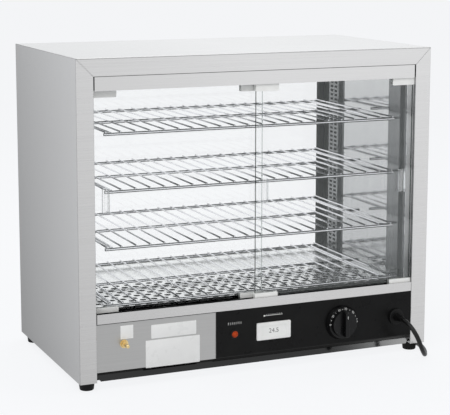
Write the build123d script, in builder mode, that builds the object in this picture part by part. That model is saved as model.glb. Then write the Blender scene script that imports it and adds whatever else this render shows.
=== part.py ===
from build123d import *
import math
import os

os.makedirs("parts", exist_ok=True)

# A countertop pie warmer: a steel cabinet on four feet, with two sliding glass doors in front,
# a fixed glass back, four wire shelves over a perforated deck, and its heaters and controls in the base.
# Millimetres. X is to the right, Y to the back, Z up, with the floor at zero.
# The origin is on the floor, midway between the tip of the knob and the back of the case.

# The case
WIDTH = 640.0
DEPTH = 350.0
CASE_HEIGHT = 525.0
FOOT_GAP = 15.0
WALL = 29.0
SHEET = 1.0
RETURN = 26.0
MITRE_GAP = 0.4
END_GAP = 2.0

# Front heights, from the underside of the case up
PAN_RAISE = 1.0
LIP_HEIGHT = 15.0
FASCIA_HEIGHT = 80.5
RAIL_HEIGHT = 16.0
HEADER_HEIGHT = 23.0

# Front depths, behind the face of the case
RAIL_SET = 1.0
FASCIA_SET = 2.5
OVERLAY = 1.0
OVERLAY_MARGIN = 0.5
FLANGE = 11.5
LIP_TOE = 3.0
LIP_LEAN = 9.0
LIP_FLANGE = 10.0
LIP_NOTCH = 8.0

# Door tracks and doors
CHANNEL = 9.0
MID_RIB = 2.0
OUTER_RIB = 1.2
LOWER_TRACK_BASE = 2.0
UPPER_TRACK_BASE = 3.0
RIB_DROP = 1.0
GLASS = 4.0
GLIDE_SIDE_GAP = 0.5
GLIDE_LIFT_GAP = 0.3
GLIDE_LENGTH = 42.0
GLIDE_SHOW = 12.0
GLIDE_GRIP = 6.0
GLIDE_WEB = 4.0
GLIDE_END = 1.5
GLIDE_ROUND = 1.5
LOWER_GLIDE = 20.0
DOOR_END_GAP = 0.5
DOOR_OVERLAP = 20.0
PULL_WIDTH = 11.0
PULL_HEIGHT = 40.0
PULL_THICK = 5.0
PULL_GROOVE = 3.0
PULL_Z = 275.0
PULL_INSET = 16.5
INNER_PULL_INSET = 11.0

# Chamber
SHELF_LEVELS = (118.0, 212.0, 306.0, 400.0)
SHELF_INSET = 29.0
SHELF_SIDE_GAP = 8.0
FRAME_WIRE = 5.0
CROSS_WIRE = 3.0
WIRE_PITCH = 25.0
WIRE_SINK = 0.4
SHELF_CORNER = 15.0
WIRE_SIDES = 6
UPRIGHT_WIDTH = 60.0
UPRIGHT_DEPTH = 6.0
UPRIGHT_FLANGE = 12.0
UPRIGHT_INSET = 60.0
UPRIGHT_TOP_GAP = 1.0
TAB_WIDTH = 16.0
TAB_REACH = 9.0
TAB_THICK = 1.2
DECK_STEP = 1.5
DECK_GAP = 1.1
DECK_SIDE_GAP = 1.5
LEDGE = 12.0
HOLE = 9.5
HOLE_PITCH_X = 20.0
HOLE_PITCH_Y = 15.25
HOLE_MARGIN = 9.0
HOLE_SIDES = 4

# Back
REAR_SET = 1.0
REAR_CHANNEL = 9.0
SEAL_EDGE = 3.0
SEAL_WIDTH = 13.0
VENT_LENGTH = 44.0
VENT_WIDTH = 5.0
VENT_PITCH_X = 90.0
VENT_PITCH_Z = 16.0
VENT_COLUMNS = 5
VENT_ROWS = 3
REAR_SCREW = 4.0
REAR_SCREW_HEAD = 8.0
REAR_SCREW_THICK = 2.0
REAR_SCREW_LENGTH = 8.0
REAR_SCREW_INSET = 22.0

# Heating, in the base
TRAY_LEFT = 45.0
TRAY_RIGHT = 60.0
TRAY_FRONT = 90.0
TRAY_BACK = 50.0
TRAY_Z = 65.0
TRAY_WALL = 30.0
ELEMENT = 8.0
ELEMENT_RISE = 18.0
ELEMENT_LEG = 50.0
ELEMENT_FIRST = 40.0
ELEMENT_STEP = 95.0
ELEMENT_END = 18.0
ELEMENT_TURN_GAP = 12.0
BRACKET_X = (-140.0, 100.0)
BRACKET_RISE = 26.0
SUPPORT_X = 180.0
SUPPORT_WIDTH = 30.0

# Controls, on the fascia: places are from the case's left side and underside
LAMP_X = 271.8
LAMP_Z = 54.7
LAMP = 13.0
LAMP_RIM = 2.0
LAMP_PROUD = 3.0
LAMP_BODY = 20.0
LAMP_FLANGE = 1.5
LAMP_WALL = 0.8
METER_X = 343.4
METER_Z = 54.0
METER_WIDTH = 63.0
METER_HEIGHT = 30.0
METER_PROUD = 3.0
METER_BODY = 14.0
METER_RIM = 2.5
WINDOW_WIDTH = 47.0
WINDOW_HEIGHT = 19.0
WINDOW_DEPTH = 1.6
DISPLAY = 0.6
METER_ROUND = 2.0
METER_EDGE = 0.8
KNOB_X = 473.0
KNOB_Z = 54.0
KNOB_PROUD = 24.0
KNOB_GAP = 1.0
SKIRT = 60.0
SKIRT_THICK = 8.5
SKIRT_TAPER = 3.0
DISC = 47.0
DISC_THICK = 6.0
DISC_DRAFT = 1.0
GRIP_WIDTH = 9.0
GRIP_ROUND = 1.2
GRIP_DRAFT = 4.0
SHAFT = 6.0
SHAFT_SEAT = 10.0
SHAFT_GAP = 0.05
SHAFT_INSIDE = 14.0
BORE_SPARE = 1.0
BUSH = 10.0
BUSH_PROUD = 0.5
THERMOSTAT = 40.0
THERMOSTAT_DEEP = 27.0
THERMOSTAT_ROUND = 3.0
CONTROL_JOINT = 238.0

# Sensor of the thermostat
BULB = 6.0
BULB_LENGTH = 90.0
BULB_RIGHT = 30.0
BULB_DROP = 7.0
CAPILLARY = 2.0
CAPILLARY_BEND = 12.0
CLIP_THICK = 1.0
CLIP_WIDTH = 8.0
CLIP_INSET = 12.0
CLIP_REACH = 9.0

# Earth stud
STUD_X = 76.0
STUD_Z = 60.0
STUD = 6.0
STUD_PROUD = 20.0
STUD_INSIDE = 8.0
STUD_TIP = 0.8
NUT_FLATS = 10.0
NUT_THICK = 5.0
WASHER = 14.0
WASHER_THICK = 1.2

# Mains lead
GLAND_FROM_RIGHT = 59.0
GLAND_Z = 53.0
GLAND_FLANGE = 28.0
GLAND_THICK = 5.0
GLAND_THREAD = 18.0
GLAND_NUT = 25.0
GLAND_INSIDE = 14.0
GLAND_ROUND = 1.5
RELIEF_ROOT = 15.0
RELIEF_TIP = 10.5
RELIEF_LENGTH = 20.0
RELIEF_GROOVES = 4
GROOVE_WIDTH = 1.2
GROOVE_WALL = 2.0
CORD = 8.0
CORD_LIFT = 0.2
COIL_X = 185.0
COIL_BEHIND = 30.0
COIL_START = 48.0
COIL_PITCH = 10.0
HALF_TURNS_IN = 3
HALF_TURNS_OUT = 4
PLUG_RELIEF = 26.0
PLUG_BODY = 32.0
PLUG_WIDTH = 30.0
PLUG_HEIGHT = 28.0
PLUG_NECK = 17.0
PIN_LENGTH = 17.0
PIN_WIDTH = 6.3
PIN_THICK = 1.6
PIN_SPREAD = 13.7
PIN_LIFT = 3.5
BLOCK_FROM_RIGHT = 68.0
BLOCK_WIDTH = 44.0
BLOCK_DEPTH = 22.0
BLOCK_HEIGHT = 16.0
BLOCK_SET = 70.0
WIRE_HOLE = 5.0

# Feet
FOOT_TOP = 27.0
FOOT_BOTTOM = 23.0
FOOT_INSET_X = 18.0
FOOT_INSET_Y = 22.0
FOOT_ROUND = 1.5
FOOT_SCREW = 5.0
FOOT_HEAD = 9.0
FOOT_HEAD_THICK = 3.0
FOOT_RECESS = 6.0
FOOT_SCREW_RISE = 9.0

# Faces and levels worked out from the sizes above
FRONT = -(DEPTH - KNOB_PROUD) / 2
BACK = FRONT + DEPTH
LEFT = -WIDTH / 2
BOTTOM = FOOT_GAP
TOP = BOTTOM + CASE_HEIGHT
CEILING = TOP - WALL
INNER_X = WIDTH / 2 - WALL
PAN_Z = BOTTOM + PAN_RAISE
FASCIA_Z = PAN_Z + LIP_HEIGHT
RAIL_Z = FASCIA_Z + FASCIA_HEIGHT
RAIL_TOP = RAIL_Z + RAIL_HEIGHT
HEADER_Z = CEILING - HEADER_HEIGHT
DECK_TOP = RAIL_TOP - DECK_STEP
TRACK_Y = FRONT + RAIL_SET + SHEET
TRACK_DEPTH = 2 * OUTER_RIB + 2 * CHANNEL + MID_RIB
FRONT_CHANNEL = TRACK_Y + OUTER_RIB + CHANNEL / 2
BACK_CHANNEL = FRONT_CHANNEL + CHANNEL + MID_RIB
RAIL_BACK = TRACK_Y + TRACK_DEPTH + SHEET
SILL_FRONT = BACK - REAR_SET - REAR_CHANNEL - 2 * SHEET
FASCIA_FACE = FRONT + FASCIA_SET
FASCIA_INSIDE = FASCIA_FACE + SHEET
PANEL_FACE = FASCIA_FACE - OVERLAY
LINER_DEPTH = DEPTH - 2 * RETURN
SHELF_X = INNER_X - SHELF_SIDE_GAP - FRAME_WIRE / 2


def front_plane(y):
    """Upright plane that faces the front, with X to the right and Z up, at a depth y."""
    return Plane.XZ.offset(-y)


def side_plane(x):
    """Upright plane along the side, with Y across and Z up, at a place x."""
    return Plane.YZ.offset(x)


def write(piece, name):
    """Name a finished piece after its node and write its STEP file."""
    piece.part.label = name
    export_step(piece.part, f"parts/{name}.step")


def section(plane, line, side, kind=Kind.INTERSECTION):
    """Section of a sheet folded along a line in a plane, its thickness on one side of the line."""
    with BuildSketch(plane) as sheet:
        with BuildLine():
            Polyline(*line)
            offset(amount=SHEET, side=side, kind=kind)
        make_face()
    return sheet.sketch


# Walls: each is an outer skin that folds round the front and back, mitred where skins meet
MITRE = MITRE_GAP / math.sqrt(2)
MIDDLE = (FRONT + BACK) / 2


def wall_panel():
    """Left wall's outer skin, with its face flanges and their returns into the opening."""
    inside = LEFT + SHEET
    fold = -INNER_X - SHEET
    line = [
        (fold, FRONT + RETURN),
        (fold, FRONT + SHEET),
        (inside, FRONT + SHEET),
        (inside, BACK - SHEET),
        (fold, BACK - SHEET),
        (fold, BACK - RETURN),
    ]
    with BuildPart() as panel:
        extrude(section(Plane.XY.offset(BOTTOM), line, Side.LEFT, Kind.ARC), amount=CASE_HEIGHT)
        with BuildSketch(front_plane(FRONT - SHEET)):
            with BuildLine():
                Polyline(
                    (LEFT - WALL, TOP + WALL - MITRE),
                    (-INNER_X + WALL, CEILING - WALL - MITRE),
                    (-INNER_X + WALL, TOP + WALL),
                    close=True,
                )
            make_face()
        extrude(amount=-(DEPTH + 2 * SHEET), mode=Mode.SUBTRACT)
        # The returns end short of the feet, which stand a little under them
        with BuildSketch(Plane.XY.offset(BOTTOM)):
            with Locations((fold + SHEET / 2, MIDDLE)):
                Rectangle(SHEET, DEPTH - 2 * SHEET)
        extrude(amount=PAN_RAISE, mode=Mode.SUBTRACT)
    return panel


def roof_panel():
    """Top skin, folded like the walls and mitred at both ends."""
    fold = CEILING + SHEET
    line = [
        (FRONT + RETURN, fold),
        (FRONT + SHEET, fold),
        (FRONT + SHEET, TOP - SHEET),
        (BACK - SHEET, TOP - SHEET),
        (BACK - SHEET, fold),
        (BACK - RETURN, fold),
    ]
    with BuildPart() as panel:
        extrude(section(side_plane(LEFT), line, Side.LEFT, Kind.ARC), amount=WIDTH)
        with BuildSketch(front_plane(FRONT - SHEET)):
            with BuildLine():
                Polyline(
                    (LEFT - WALL, TOP + WALL + MITRE),
                    (-INNER_X + WALL, CEILING - WALL + MITRE),
                    (LEFT - WALL, CEILING - WALL),
                    close=True,
                )
            make_face()
            mirror(about=Plane.YZ)
        extrude(amount=-(DEPTH + 2 * SHEET), mode=Mode.SUBTRACT)
    return panel


def liner(left):
    """Polished sheet that closes a wall on the chamber's side."""
    with BuildPart() as sheet:
        with BuildSketch(side_plane(left)):
            with Locations((MIDDLE, (PAN_Z + CEILING) / 2)):
                Rectangle(LINER_DEPTH, CEILING - PAN_Z)
        extrude(amount=SHEET)
    return sheet


def mirrored(piece):
    """The same piece on the other side of the cabinet."""
    with BuildPart() as twin:
        mirror(piece.part, about=Plane.YZ)
    return twin


left_side_panel = wall_panel()
write(left_side_panel, "left_side_panel")
write(mirrored(left_side_panel), "right_side_panel")
write(roof_panel(), "top_panel")
write(liner(-INNER_X - SHEET), "left_liner")
write(liner(INNER_X), "right_liner")

with BuildPart() as top_liner:
    with BuildSketch(Plane.XY.offset(CEILING)):
        with Locations((0, MIDDLE)):
            Rectangle(2 * (INNER_X + SHEET), LINER_DEPTH)
    extrude(amount=SHEET)
write(top_liner, "top_liner")


# Base: channels under the walls that carry the feet, and a pan between them
def base_rail():
    """Left channel, open upwards."""
    outer = LEFT + SHEET
    inner = -INNER_X - SHEET
    rim = PAN_Z + FLANGE
    line = [(outer, rim), (outer, PAN_Z), (inner, PAN_Z), (inner, rim)]
    with BuildPart() as rail:
        extrude(section(front_plane(FRONT + SHEET), line, Side.LEFT), amount=-(DEPTH - 2 * SHEET))
        with BuildSketch(Plane.XY.offset(PAN_Z)):
            with Locations(*[(x, y) for x, y in FOOT_SPOTS if x < 0]):
                Circle(FOOT_SCREW / 2)
        extrude(amount=SHEET, mode=Mode.SUBTRACT)
    return rail


FOOT_SPOTS = [
    (side * (WIDTH / 2 - FOOT_INSET_X), y)
    for side in (-1, 1)
    for y in (FRONT + FOOT_INSET_Y, BACK - FOOT_INSET_Y)
]
left_rail = base_rail()
with BuildPart() as base_rails:
    add(left_rail.part)
    mirror(left_rail.part, about=Plane.YZ)
write(base_rails, "base_rails")

with BuildPart() as base_pan:
    rear = BACK - FASCIA_SET - SHEET
    pan_line = [
        (FRONT + LIP_TOE + LIP_LEAN + LIP_FLANGE, FASCIA_Z),
        (FRONT + LIP_TOE + LIP_LEAN, FASCIA_Z),
        (FRONT + LIP_TOE, PAN_Z),
        (rear, PAN_Z),
        (rear, FASCIA_Z),
    ]
    extrude(section(side_plane(-INNER_X), pan_line, Side.LEFT), amount=2 * INNER_X)
    # The lip's lower corners are cut off, so that it folds clear of the walls
    with BuildSketch(front_plane(FRONT)):
        with BuildLine():
            Polyline(
                (-INNER_X, PAN_Z - SHEET),
                (-INNER_X, PAN_Z + LIP_NOTCH),
                (-INNER_X + LIP_NOTCH, PAN_Z - SHEET),
                close=True,
            )
        make_face()
        mirror(about=Plane.YZ)
    extrude(amount=-(LIP_TOE + LIP_LEAN), mode=Mode.SUBTRACT)
write(base_pan, "base_pan")

# Fascia: a steel channel across the front, with a gloss panel over its right part
LAMP_SPOT = (LEFT + LAMP_X, BOTTOM + LAMP_Z)
METER_SPOT = (LEFT + METER_X, BOTTOM + METER_Z)
KNOB_SPOT = (LEFT + KNOB_X, BOTTOM + KNOB_Z)
GLAND_SPOT = (LEFT + WIDTH - GLAND_FROM_RIGHT, BOTTOM + GLAND_Z)
STUD_SPOT = (LEFT + STUD_X, BOTTOM + STUD_Z)


def control_cuts(y, depth):
    """Cutter for the openings of the lamp, the meter, the thermostat and the mains lead."""
    with BuildPart() as cutter:
        with BuildSketch(front_plane(y)):
            with Locations(LAMP_SPOT):
                Circle(LAMP / 2)
            with Locations(METER_SPOT):
                Rectangle(METER_WIDTH - 2 * METER_RIM, METER_HEIGHT - 2 * METER_RIM)
            with Locations(KNOB_SPOT):
                Circle(BUSH / 2)
            with Locations(GLAND_SPOT):
                Circle(GLAND_THREAD / 2)
        extrude(amount=-depth)
    return cutter.part


with BuildPart() as fascia_panel:
    fascia_line = [
        (FASCIA_FACE + FLANGE, FASCIA_Z),
        (FASCIA_FACE, FASCIA_Z),
        (FASCIA_FACE, RAIL_Z),
        (FASCIA_FACE + FLANGE, RAIL_Z),
    ]
    extrude(section(side_plane(-INNER_X), fascia_line, Side.RIGHT), amount=2 * INNER_X)
    add(control_cuts(FASCIA_FACE, SHEET), mode=Mode.SUBTRACT)
    with BuildSketch(front_plane(FASCIA_FACE)):
        with Locations(STUD_SPOT):
            Circle(STUD / 2)
    extrude(amount=-SHEET, mode=Mode.SUBTRACT)
write(fascia_panel, "fascia_panel")

with BuildPart() as control_panel:
    panel_left = LEFT + CONTROL_JOINT
    with BuildSketch(front_plane(PANEL_FACE)):
        with Locations(((panel_left + INNER_X) / 2, (FASCIA_Z + RAIL_Z) / 2)):
            Rectangle(INNER_X - panel_left, FASCIA_HEIGHT - 2 * OVERLAY_MARGIN)
    extrude(amount=-OVERLAY)
    add(control_cuts(PANEL_FACE, OVERLAY), mode=Mode.SUBTRACT)
write(control_panel, "control_panel")


# Door frame: a rail below and a header above, each holding a two-channel track
def track(base_z, base, tip_z):
    """Two-channel door track, from the back of its base to the tips of its ribs."""
    floor = base_z + math.copysign(base, tip_z - base_z)
    with BuildPart() as piece:
        with BuildSketch(side_plane(-INNER_X)):
            with Locations((TRACK_Y + TRACK_DEPTH / 2, (base_z + tip_z) / 2)):
                Rectangle(TRACK_DEPTH, abs(tip_z - base_z))
            with Locations(*[(y, (floor + tip_z) / 2) for y in (FRONT_CHANNEL, BACK_CHANNEL)]):
                Rectangle(CHANNEL, abs(tip_z - floor), mode=Mode.SUBTRACT)
        extrude(amount=2 * INNER_X)
    return piece


with BuildPart() as lower_rail:
    rail_line = [
        (FRONT + RAIL_SET, RAIL_TOP),
        (FRONT + RAIL_SET, RAIL_Z),
        (RAIL_BACK, RAIL_Z),
        (RAIL_BACK, RAIL_TOP - RIB_DROP),
    ]
    extrude(section(side_plane(-INNER_X), rail_line, Side.LEFT), amount=2 * INNER_X)
write(lower_rail, "lower_rail")
write(track(RAIL_Z + SHEET, LOWER_TRACK_BASE, RAIL_TOP - RIB_DROP), "lower_track")

with BuildPart() as header_rail:
    header_line = [
        (FRONT + RAIL_SET, HEADER_Z),
        (FRONT + RAIL_SET, CEILING),
        (RAIL_BACK, CEILING),
        (RAIL_BACK, HEADER_Z),
    ]
    header_length = 2 * (INNER_X - END_GAP)
    extrude(section(side_plane(-INNER_X + END_GAP), header_line, Side.RIGHT), amount=header_length)
write(header_rail, "header_rail")
write(track(CEILING - SHEET, UPPER_TRACK_BASE, HEADER_Z + RIB_DROP), "upper_track")

# Doors: frameless glass held by a plastic glide at each corner, with clear finger pulls
GLIDE_BOTTOM = RAIL_Z + SHEET + LOWER_TRACK_BASE + GLIDE_LIFT_GAP
GLIDE_TOP = HEADER_Z + GLIDE_GRIP
GLASS_BOTTOM = GLIDE_BOTTOM + GLIDE_WEB
GLASS_TOP = GLIDE_TOP - GLIDE_WEB
DOOR_WIDTH = INNER_X - DOOR_END_GAP + DOOR_OVERLAP / 2
LEFT_DOOR = -INNER_X + DOOR_END_GAP
RIGHT_DOOR = INNER_X - DOOR_END_GAP - DOOR_WIDTH


def door_glass(y, left):
    """One pane, centred on its channel."""
    with BuildPart() as pane:
        with BuildSketch(front_plane(y - GLASS / 2)):
            with Locations((left + DOOR_WIDTH / 2, (GLASS_BOTTOM + GLASS_TOP) / 2)):
                Rectangle(DOOR_WIDTH - 2 * GLIDE_END, GLASS_TOP - GLASS_BOTTOM)
        extrude(amount=-GLASS)
    return pane


def door_glides(y, left, glass):
    """Four corner shoes, slotted for the pane and rounded where they meet the stops."""
    upper = GLIDE_SHOW + GLIDE_GRIP
    thick = CHANNEL - 2 * GLIDE_SIDE_GAP
    with BuildPart() as shoes:
        with BuildSketch(front_plane(y - thick / 2)):
            for bottom, height in ((GLIDE_BOTTOM, LOWER_GLIDE), (GLIDE_TOP - upper, upper)):
                for start in (left, left + DOOR_WIDTH - GLIDE_LENGTH):
                    with Locations((start + GLIDE_LENGTH / 2, bottom + height / 2)):
                        RectangleRounded(GLIDE_LENGTH, height, GLIDE_ROUND)
        extrude(amount=-thick)
        add(glass.part, mode=Mode.SUBTRACT)
    return shoes


def door_pulls(y, lefts):
    """Clear blocks with a hollow for a fingertip, stuck to the front of a pane."""
    face = y - GLASS / 2 - PULL_THICK
    with BuildPart() as blocks:
        with BuildSketch(Plane.XY.offset(BOTTOM + PULL_Z)):
            with Locations(*[(left + PULL_WIDTH / 2, face + PULL_THICK / 2) for left in lefts]):
                Rectangle(PULL_WIDTH, PULL_THICK)
            with Locations(*[(left + PULL_WIDTH / 2, face) for left in lefts]):
                Circle(PULL_GROOVE, mode=Mode.SUBTRACT)
        extrude(amount=PULL_HEIGHT)
    return blocks


left_door_glass = door_glass(BACK_CHANNEL, LEFT_DOOR)
write(left_door_glass, "left_door_glass")
write(door_glides(BACK_CHANNEL, LEFT_DOOR, left_door_glass), "left_door_glides")
write(door_pulls(BACK_CHANNEL, [LEFT_DOOR + PULL_INSET]), "left_door_pull")
right_door_glass = door_glass(FRONT_CHANNEL, RIGHT_DOOR)
write(right_door_glass, "right_door_glass")
write(door_glides(FRONT_CHANNEL, RIGHT_DOOR, right_door_glass), "right_door_glides")
right_pulls = [
    RIGHT_DOOR + INNER_PULL_INSET,
    RIGHT_DOOR + DOOR_WIDTH - PULL_INSET - PULL_WIDTH,
]
write(door_pulls(FRONT_CHANNEL, right_pulls), "right_door_pulls")

# Back: a fixed pane in a rubber seal, held by a header, a sill and the walls' returns
REAR_FACE = BACK - REAR_SET
SEAL_Y = SILL_FRONT + SHEET
SEAL_BOTTOM = RAIL_Z + SHEET
SEAL_TOP = CEILING - SHEET


def rear_channel(closed, mouth, side):
    """Folded channel that takes one long edge of the rear pane and its seal."""
    line = [
        (SILL_FRONT, mouth),
        (SILL_FRONT, closed),
        (REAR_FACE, closed),
        (REAR_FACE, mouth),
    ]
    with BuildPart() as channel:
        extrude(section(side_plane(-INNER_X), line, side), amount=2 * INNER_X)
    return channel


write(rear_channel(RAIL_Z, RAIL_TOP, Side.LEFT), "rear_sill")
write(rear_channel(CEILING, HEADER_Z, Side.RIGHT), "rear_header")

with BuildPart() as rear_glass:
    with BuildSketch(front_plane(SEAL_Y + (REAR_CHANNEL - GLASS) / 2)):
        with Locations((0, (SEAL_BOTTOM + SEAL_TOP) / 2)):
            Rectangle(2 * (INNER_X - SEAL_EDGE), SEAL_TOP - SEAL_BOTTOM - 2 * SEAL_EDGE)
    extrude(amount=-GLASS)
write(rear_glass, "rear_glass")

with BuildPart() as rear_glass_seal:
    with BuildSketch(front_plane(SEAL_Y)):
        with Locations((0, (SEAL_BOTTOM + SEAL_TOP) / 2)):
            Rectangle(2 * INNER_X, SEAL_TOP - SEAL_BOTTOM)
            window_height = SEAL_TOP - SEAL_BOTTOM - 2 * SEAL_WIDTH
            Rectangle(2 * (INNER_X - SEAL_WIDTH), window_height, mode=Mode.SUBTRACT)
    extrude(amount=-REAR_CHANNEL)
    add(rear_glass.part, mode=Mode.SUBTRACT)
write(rear_glass_seal, "rear_glass_seal")

REAR_SCREW_SPOTS = [
    (side * (INNER_X - REAR_SCREW_INSET), level)
    for side in (-1, 1)
    for level in (FASCIA_Z + REAR_SCREW_INSET, RAIL_Z - REAR_SCREW_INSET)
]
REAR_PANEL = BACK - FASCIA_SET
with BuildPart() as rear_panel:
    rear_line = [
        (REAR_PANEL - FLANGE, RAIL_Z),
        (REAR_PANEL, RAIL_Z),
        (REAR_PANEL, PAN_Z + PAN_RAISE),
    ]
    extrude(section(side_plane(-INNER_X), rear_line, Side.RIGHT), amount=2 * INNER_X)
    with BuildSketch(front_plane(REAR_PANEL)):
        with Locations((0, (FASCIA_Z + RAIL_Z) / 2)):
            with GridLocations(VENT_PITCH_X, VENT_PITCH_Z, VENT_COLUMNS, VENT_ROWS):
                SlotOverall(VENT_LENGTH, VENT_WIDTH)
        with Locations(*REAR_SCREW_SPOTS):
            Circle(REAR_SCREW / 2)
    extrude(amount=SHEET, mode=Mode.SUBTRACT)
write(rear_panel, "rear_panel")

with BuildPart() as rear_screws:
    with BuildSketch(front_plane(REAR_PANEL)):
        with Locations(*REAR_SCREW_SPOTS):
            Circle(REAR_SCREW_HEAD / 2)
    extrude(amount=-REAR_SCREW_THICK)
    fillet(edges().group_by(Axis.Y)[-1], REAR_SCREW_THICK / 2)
    with BuildSketch(front_plane(REAR_PANEL)):
        with Locations(*REAR_SCREW_SPOTS):
            Circle(REAR_SCREW / 2)
    extrude(amount=REAR_SCREW_LENGTH)
write(rear_screws, "rear_screws")

# Deck: a lift-out sheet over the heaters, pierced all over, on a ring of ledges
DECK_FRONT = RAIL_BACK + DECK_GAP
DECK_BACK = SILL_FRONT - DECK_GAP
DECK_X = INNER_X - DECK_SIDE_GAP


def hole_spots():
    """Centres of the staggered holes, row by row from the front."""
    rows = int((DECK_BACK - DECK_FRONT - 2 * HOLE_MARGIN) / HOLE_PITCH_Y) + 1
    columns = int((2 * DECK_X - 2 * HOLE_MARGIN - HOLE_PITCH_X / 2) / HOLE_PITCH_X) + 1
    middle = (DECK_FRONT + DECK_BACK) / 2
    spots = []
    for row in range(rows):
        shift = HOLE_PITCH_X / 4 * (1 if row % 2 else -1)
        y = middle + (row - (rows - 1) / 2) * HOLE_PITCH_Y
        for column in range(columns):
            spots.append(((column - (columns - 1) / 2) * HOLE_PITCH_X + shift, y))
    return spots


# The holes have few sides, because there are so many of them
with BuildSketch(Plane.XY.offset(DECK_TOP)) as hole:
    RegularPolygon(HOLE / 2, HOLE_SIDES)
with BuildSketch(Plane.XY.offset(DECK_TOP)) as blank:
    with Locations((0, (DECK_FRONT + DECK_BACK) / 2)):
        Rectangle(2 * DECK_X, DECK_BACK - DECK_FRONT)
hole_wire = hole.sketch.face().outer_wire()
pierced = Face(
    blank.sketch.face().outer_wire(),
    [hole_wire.moved(Location((x, y, 0))) for x, y in hole_spots()],
)

with BuildPart() as deck:
    extrude(pierced, amount=-SHEET, dir=(0, 0, 1), clean=False)
write(deck, "deck")

with BuildPart() as deck_ledges:
    ledge_top = DECK_TOP - SHEET
    ledge_line = [
        (-INNER_X, ledge_top - LEDGE),
        (-INNER_X, ledge_top),
        (-INNER_X + LEDGE, ledge_top),
    ]
    ledge_plane = front_plane(RAIL_BACK)
    extrude(section(ledge_plane, ledge_line, Side.RIGHT), amount=RAIL_BACK - SILL_FRONT)
    mirror(about=Plane.YZ)
    for wall, reach, side in ((RAIL_BACK, LEDGE, Side.RIGHT), (SILL_FRONT, -LEDGE, Side.LEFT)):
        angle = [(wall, ledge_top - LEDGE), (wall, ledge_top), (wall + reach, ledge_top)]
        extrude(section(side_plane(-INNER_X), angle, side), amount=2 * INNER_X)
write(deck_ledges, "deck_ledges")


# Chamber: hat-section uprights on the liners, and wire shelves that lie on their tabs
def wall_uprights():
    """The left wall's two posts, with a tab for every shelf."""
    web = -INNER_X + UPRIGHT_DEPTH
    foot = UPRIGHT_WIDTH / 2
    crown = foot - UPRIGHT_FLANGE
    with BuildPart() as posts:
        for y in (FRONT + UPRIGHT_INSET, BACK - UPRIGHT_INSET):
            line = [
                (-INNER_X, y - foot),
                (-INNER_X, y - crown),
                (web - SHEET, y - crown),
                (web - SHEET, y + crown),
                (-INNER_X, y + crown),
                (-INNER_X, y + foot),
            ]
            height = CEILING - UPRIGHT_TOP_GAP - DECK_TOP
            extrude(section(Plane.XY.offset(DECK_TOP), line, Side.RIGHT), amount=height)
            for level in SHELF_LEVELS:
                seat = BOTTOM + level - FRAME_WIRE / 2
                with BuildSketch(Plane.XY.offset(seat)):
                    with Locations((web + (TAB_REACH - SHEET) / 2, y)):
                        Rectangle(TAB_REACH + SHEET, TAB_WIDTH)
                extrude(amount=-TAB_THICK)
    return posts


left_uprights = wall_uprights()
write(left_uprights, "left_uprights")
write(mirrored(left_uprights), "right_uprights")


def wire_rack():
    """A bent frame, a middle bar and cross wires welded on top, at the height of the frame."""
    front = FRONT + SHELF_INSET
    back = BACK - SHELF_INSET
    with BuildSketch() as outline:
        with Locations((0, (front + back) / 2)):
            RectangleRounded(2 * SHELF_X, back - front, SHELF_CORNER)
    frame = outline.sketch.face().outer_wire()
    count = int(2 * (SHELF_X - FRAME_WIRE) / WIRE_PITCH)
    height = (FRAME_WIRE + CROSS_WIRE) / 2 - WIRE_SINK
    places = [((wire - (count - 1) / 2) * WIRE_PITCH, height) for wire in range(count)]
    with BuildPart() as rack:
        with BuildSketch(Plane(origin=frame @ 0, z_dir=frame % 0)):
            Circle(FRAME_WIRE / 2)
        sweep(path=frame)
        with BuildSketch(side_plane(-SHELF_X)):
            with Locations(((front + back) / 2, 0)):
                Circle(FRAME_WIRE / 2)
        extrude(amount=2 * SHELF_X)
        with BuildSketch(front_plane(front - FRAME_WIRE / 2)):
            with Locations(*places):
                RegularPolygon(CROSS_WIRE / 2, WIRE_SIDES)
        extrude(amount=-(back - front + FRAME_WIRE))
    return rack


rack = wire_rack()
for number, level in enumerate(SHELF_LEVELS, 1):
    with BuildPart() as shelf:
        add(rack.part.moved(Location((0, 0, BOTTOM + level))))
    write(shelf, f"shelf_{number}")

# Heaters: two hairpin elements in a tray under the deck
TRAY_X = (-INNER_X + TRAY_LEFT, INNER_X - TRAY_RIGHT)
TRAY_Y = (FRONT + TRAY_FRONT, BACK - TRAY_BACK)
TRAY_FLOOR = BOTTOM + TRAY_Z
TRAY_MIDDLE = ((TRAY_X[0] + TRAY_X[1]) / 2, (TRAY_Y[0] + TRAY_Y[1]) / 2)
TRAY_SIZE = (TRAY_X[1] - TRAY_X[0], TRAY_Y[1] - TRAY_Y[0])

with BuildPart() as heater_elements:
    element_z = TRAY_FLOOR + SHEET + ELEMENT_RISE
    bend_x = TRAY_X[0] + ELEMENT_TURN_GAP + ELEMENT_LEG / 2
    end_x = TRAY_X[1] + ELEMENT_END
    for first in (ELEMENT_FIRST, ELEMENT_FIRST + ELEMENT_STEP):
        leg_y = TRAY_Y[0] + first
        with BuildLine(Plane.XY.offset(element_z)) as hairpin:
            Line((end_x, leg_y), (bend_x, leg_y))
            ThreePointArc(
                (bend_x, leg_y),
                (bend_x - ELEMENT_LEG / 2, leg_y + ELEMENT_LEG / 2),
                (bend_x, leg_y + ELEMENT_LEG),
            )
            Line((bend_x, leg_y + ELEMENT_LEG), (end_x, leg_y + ELEMENT_LEG))
        with BuildSketch(Plane(origin=hairpin.wire() @ 0, z_dir=hairpin.wire() % 0)):
            Circle(ELEMENT / 2)
        sweep(path=hairpin.wire())
write(heater_elements, "heater_elements")

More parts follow.
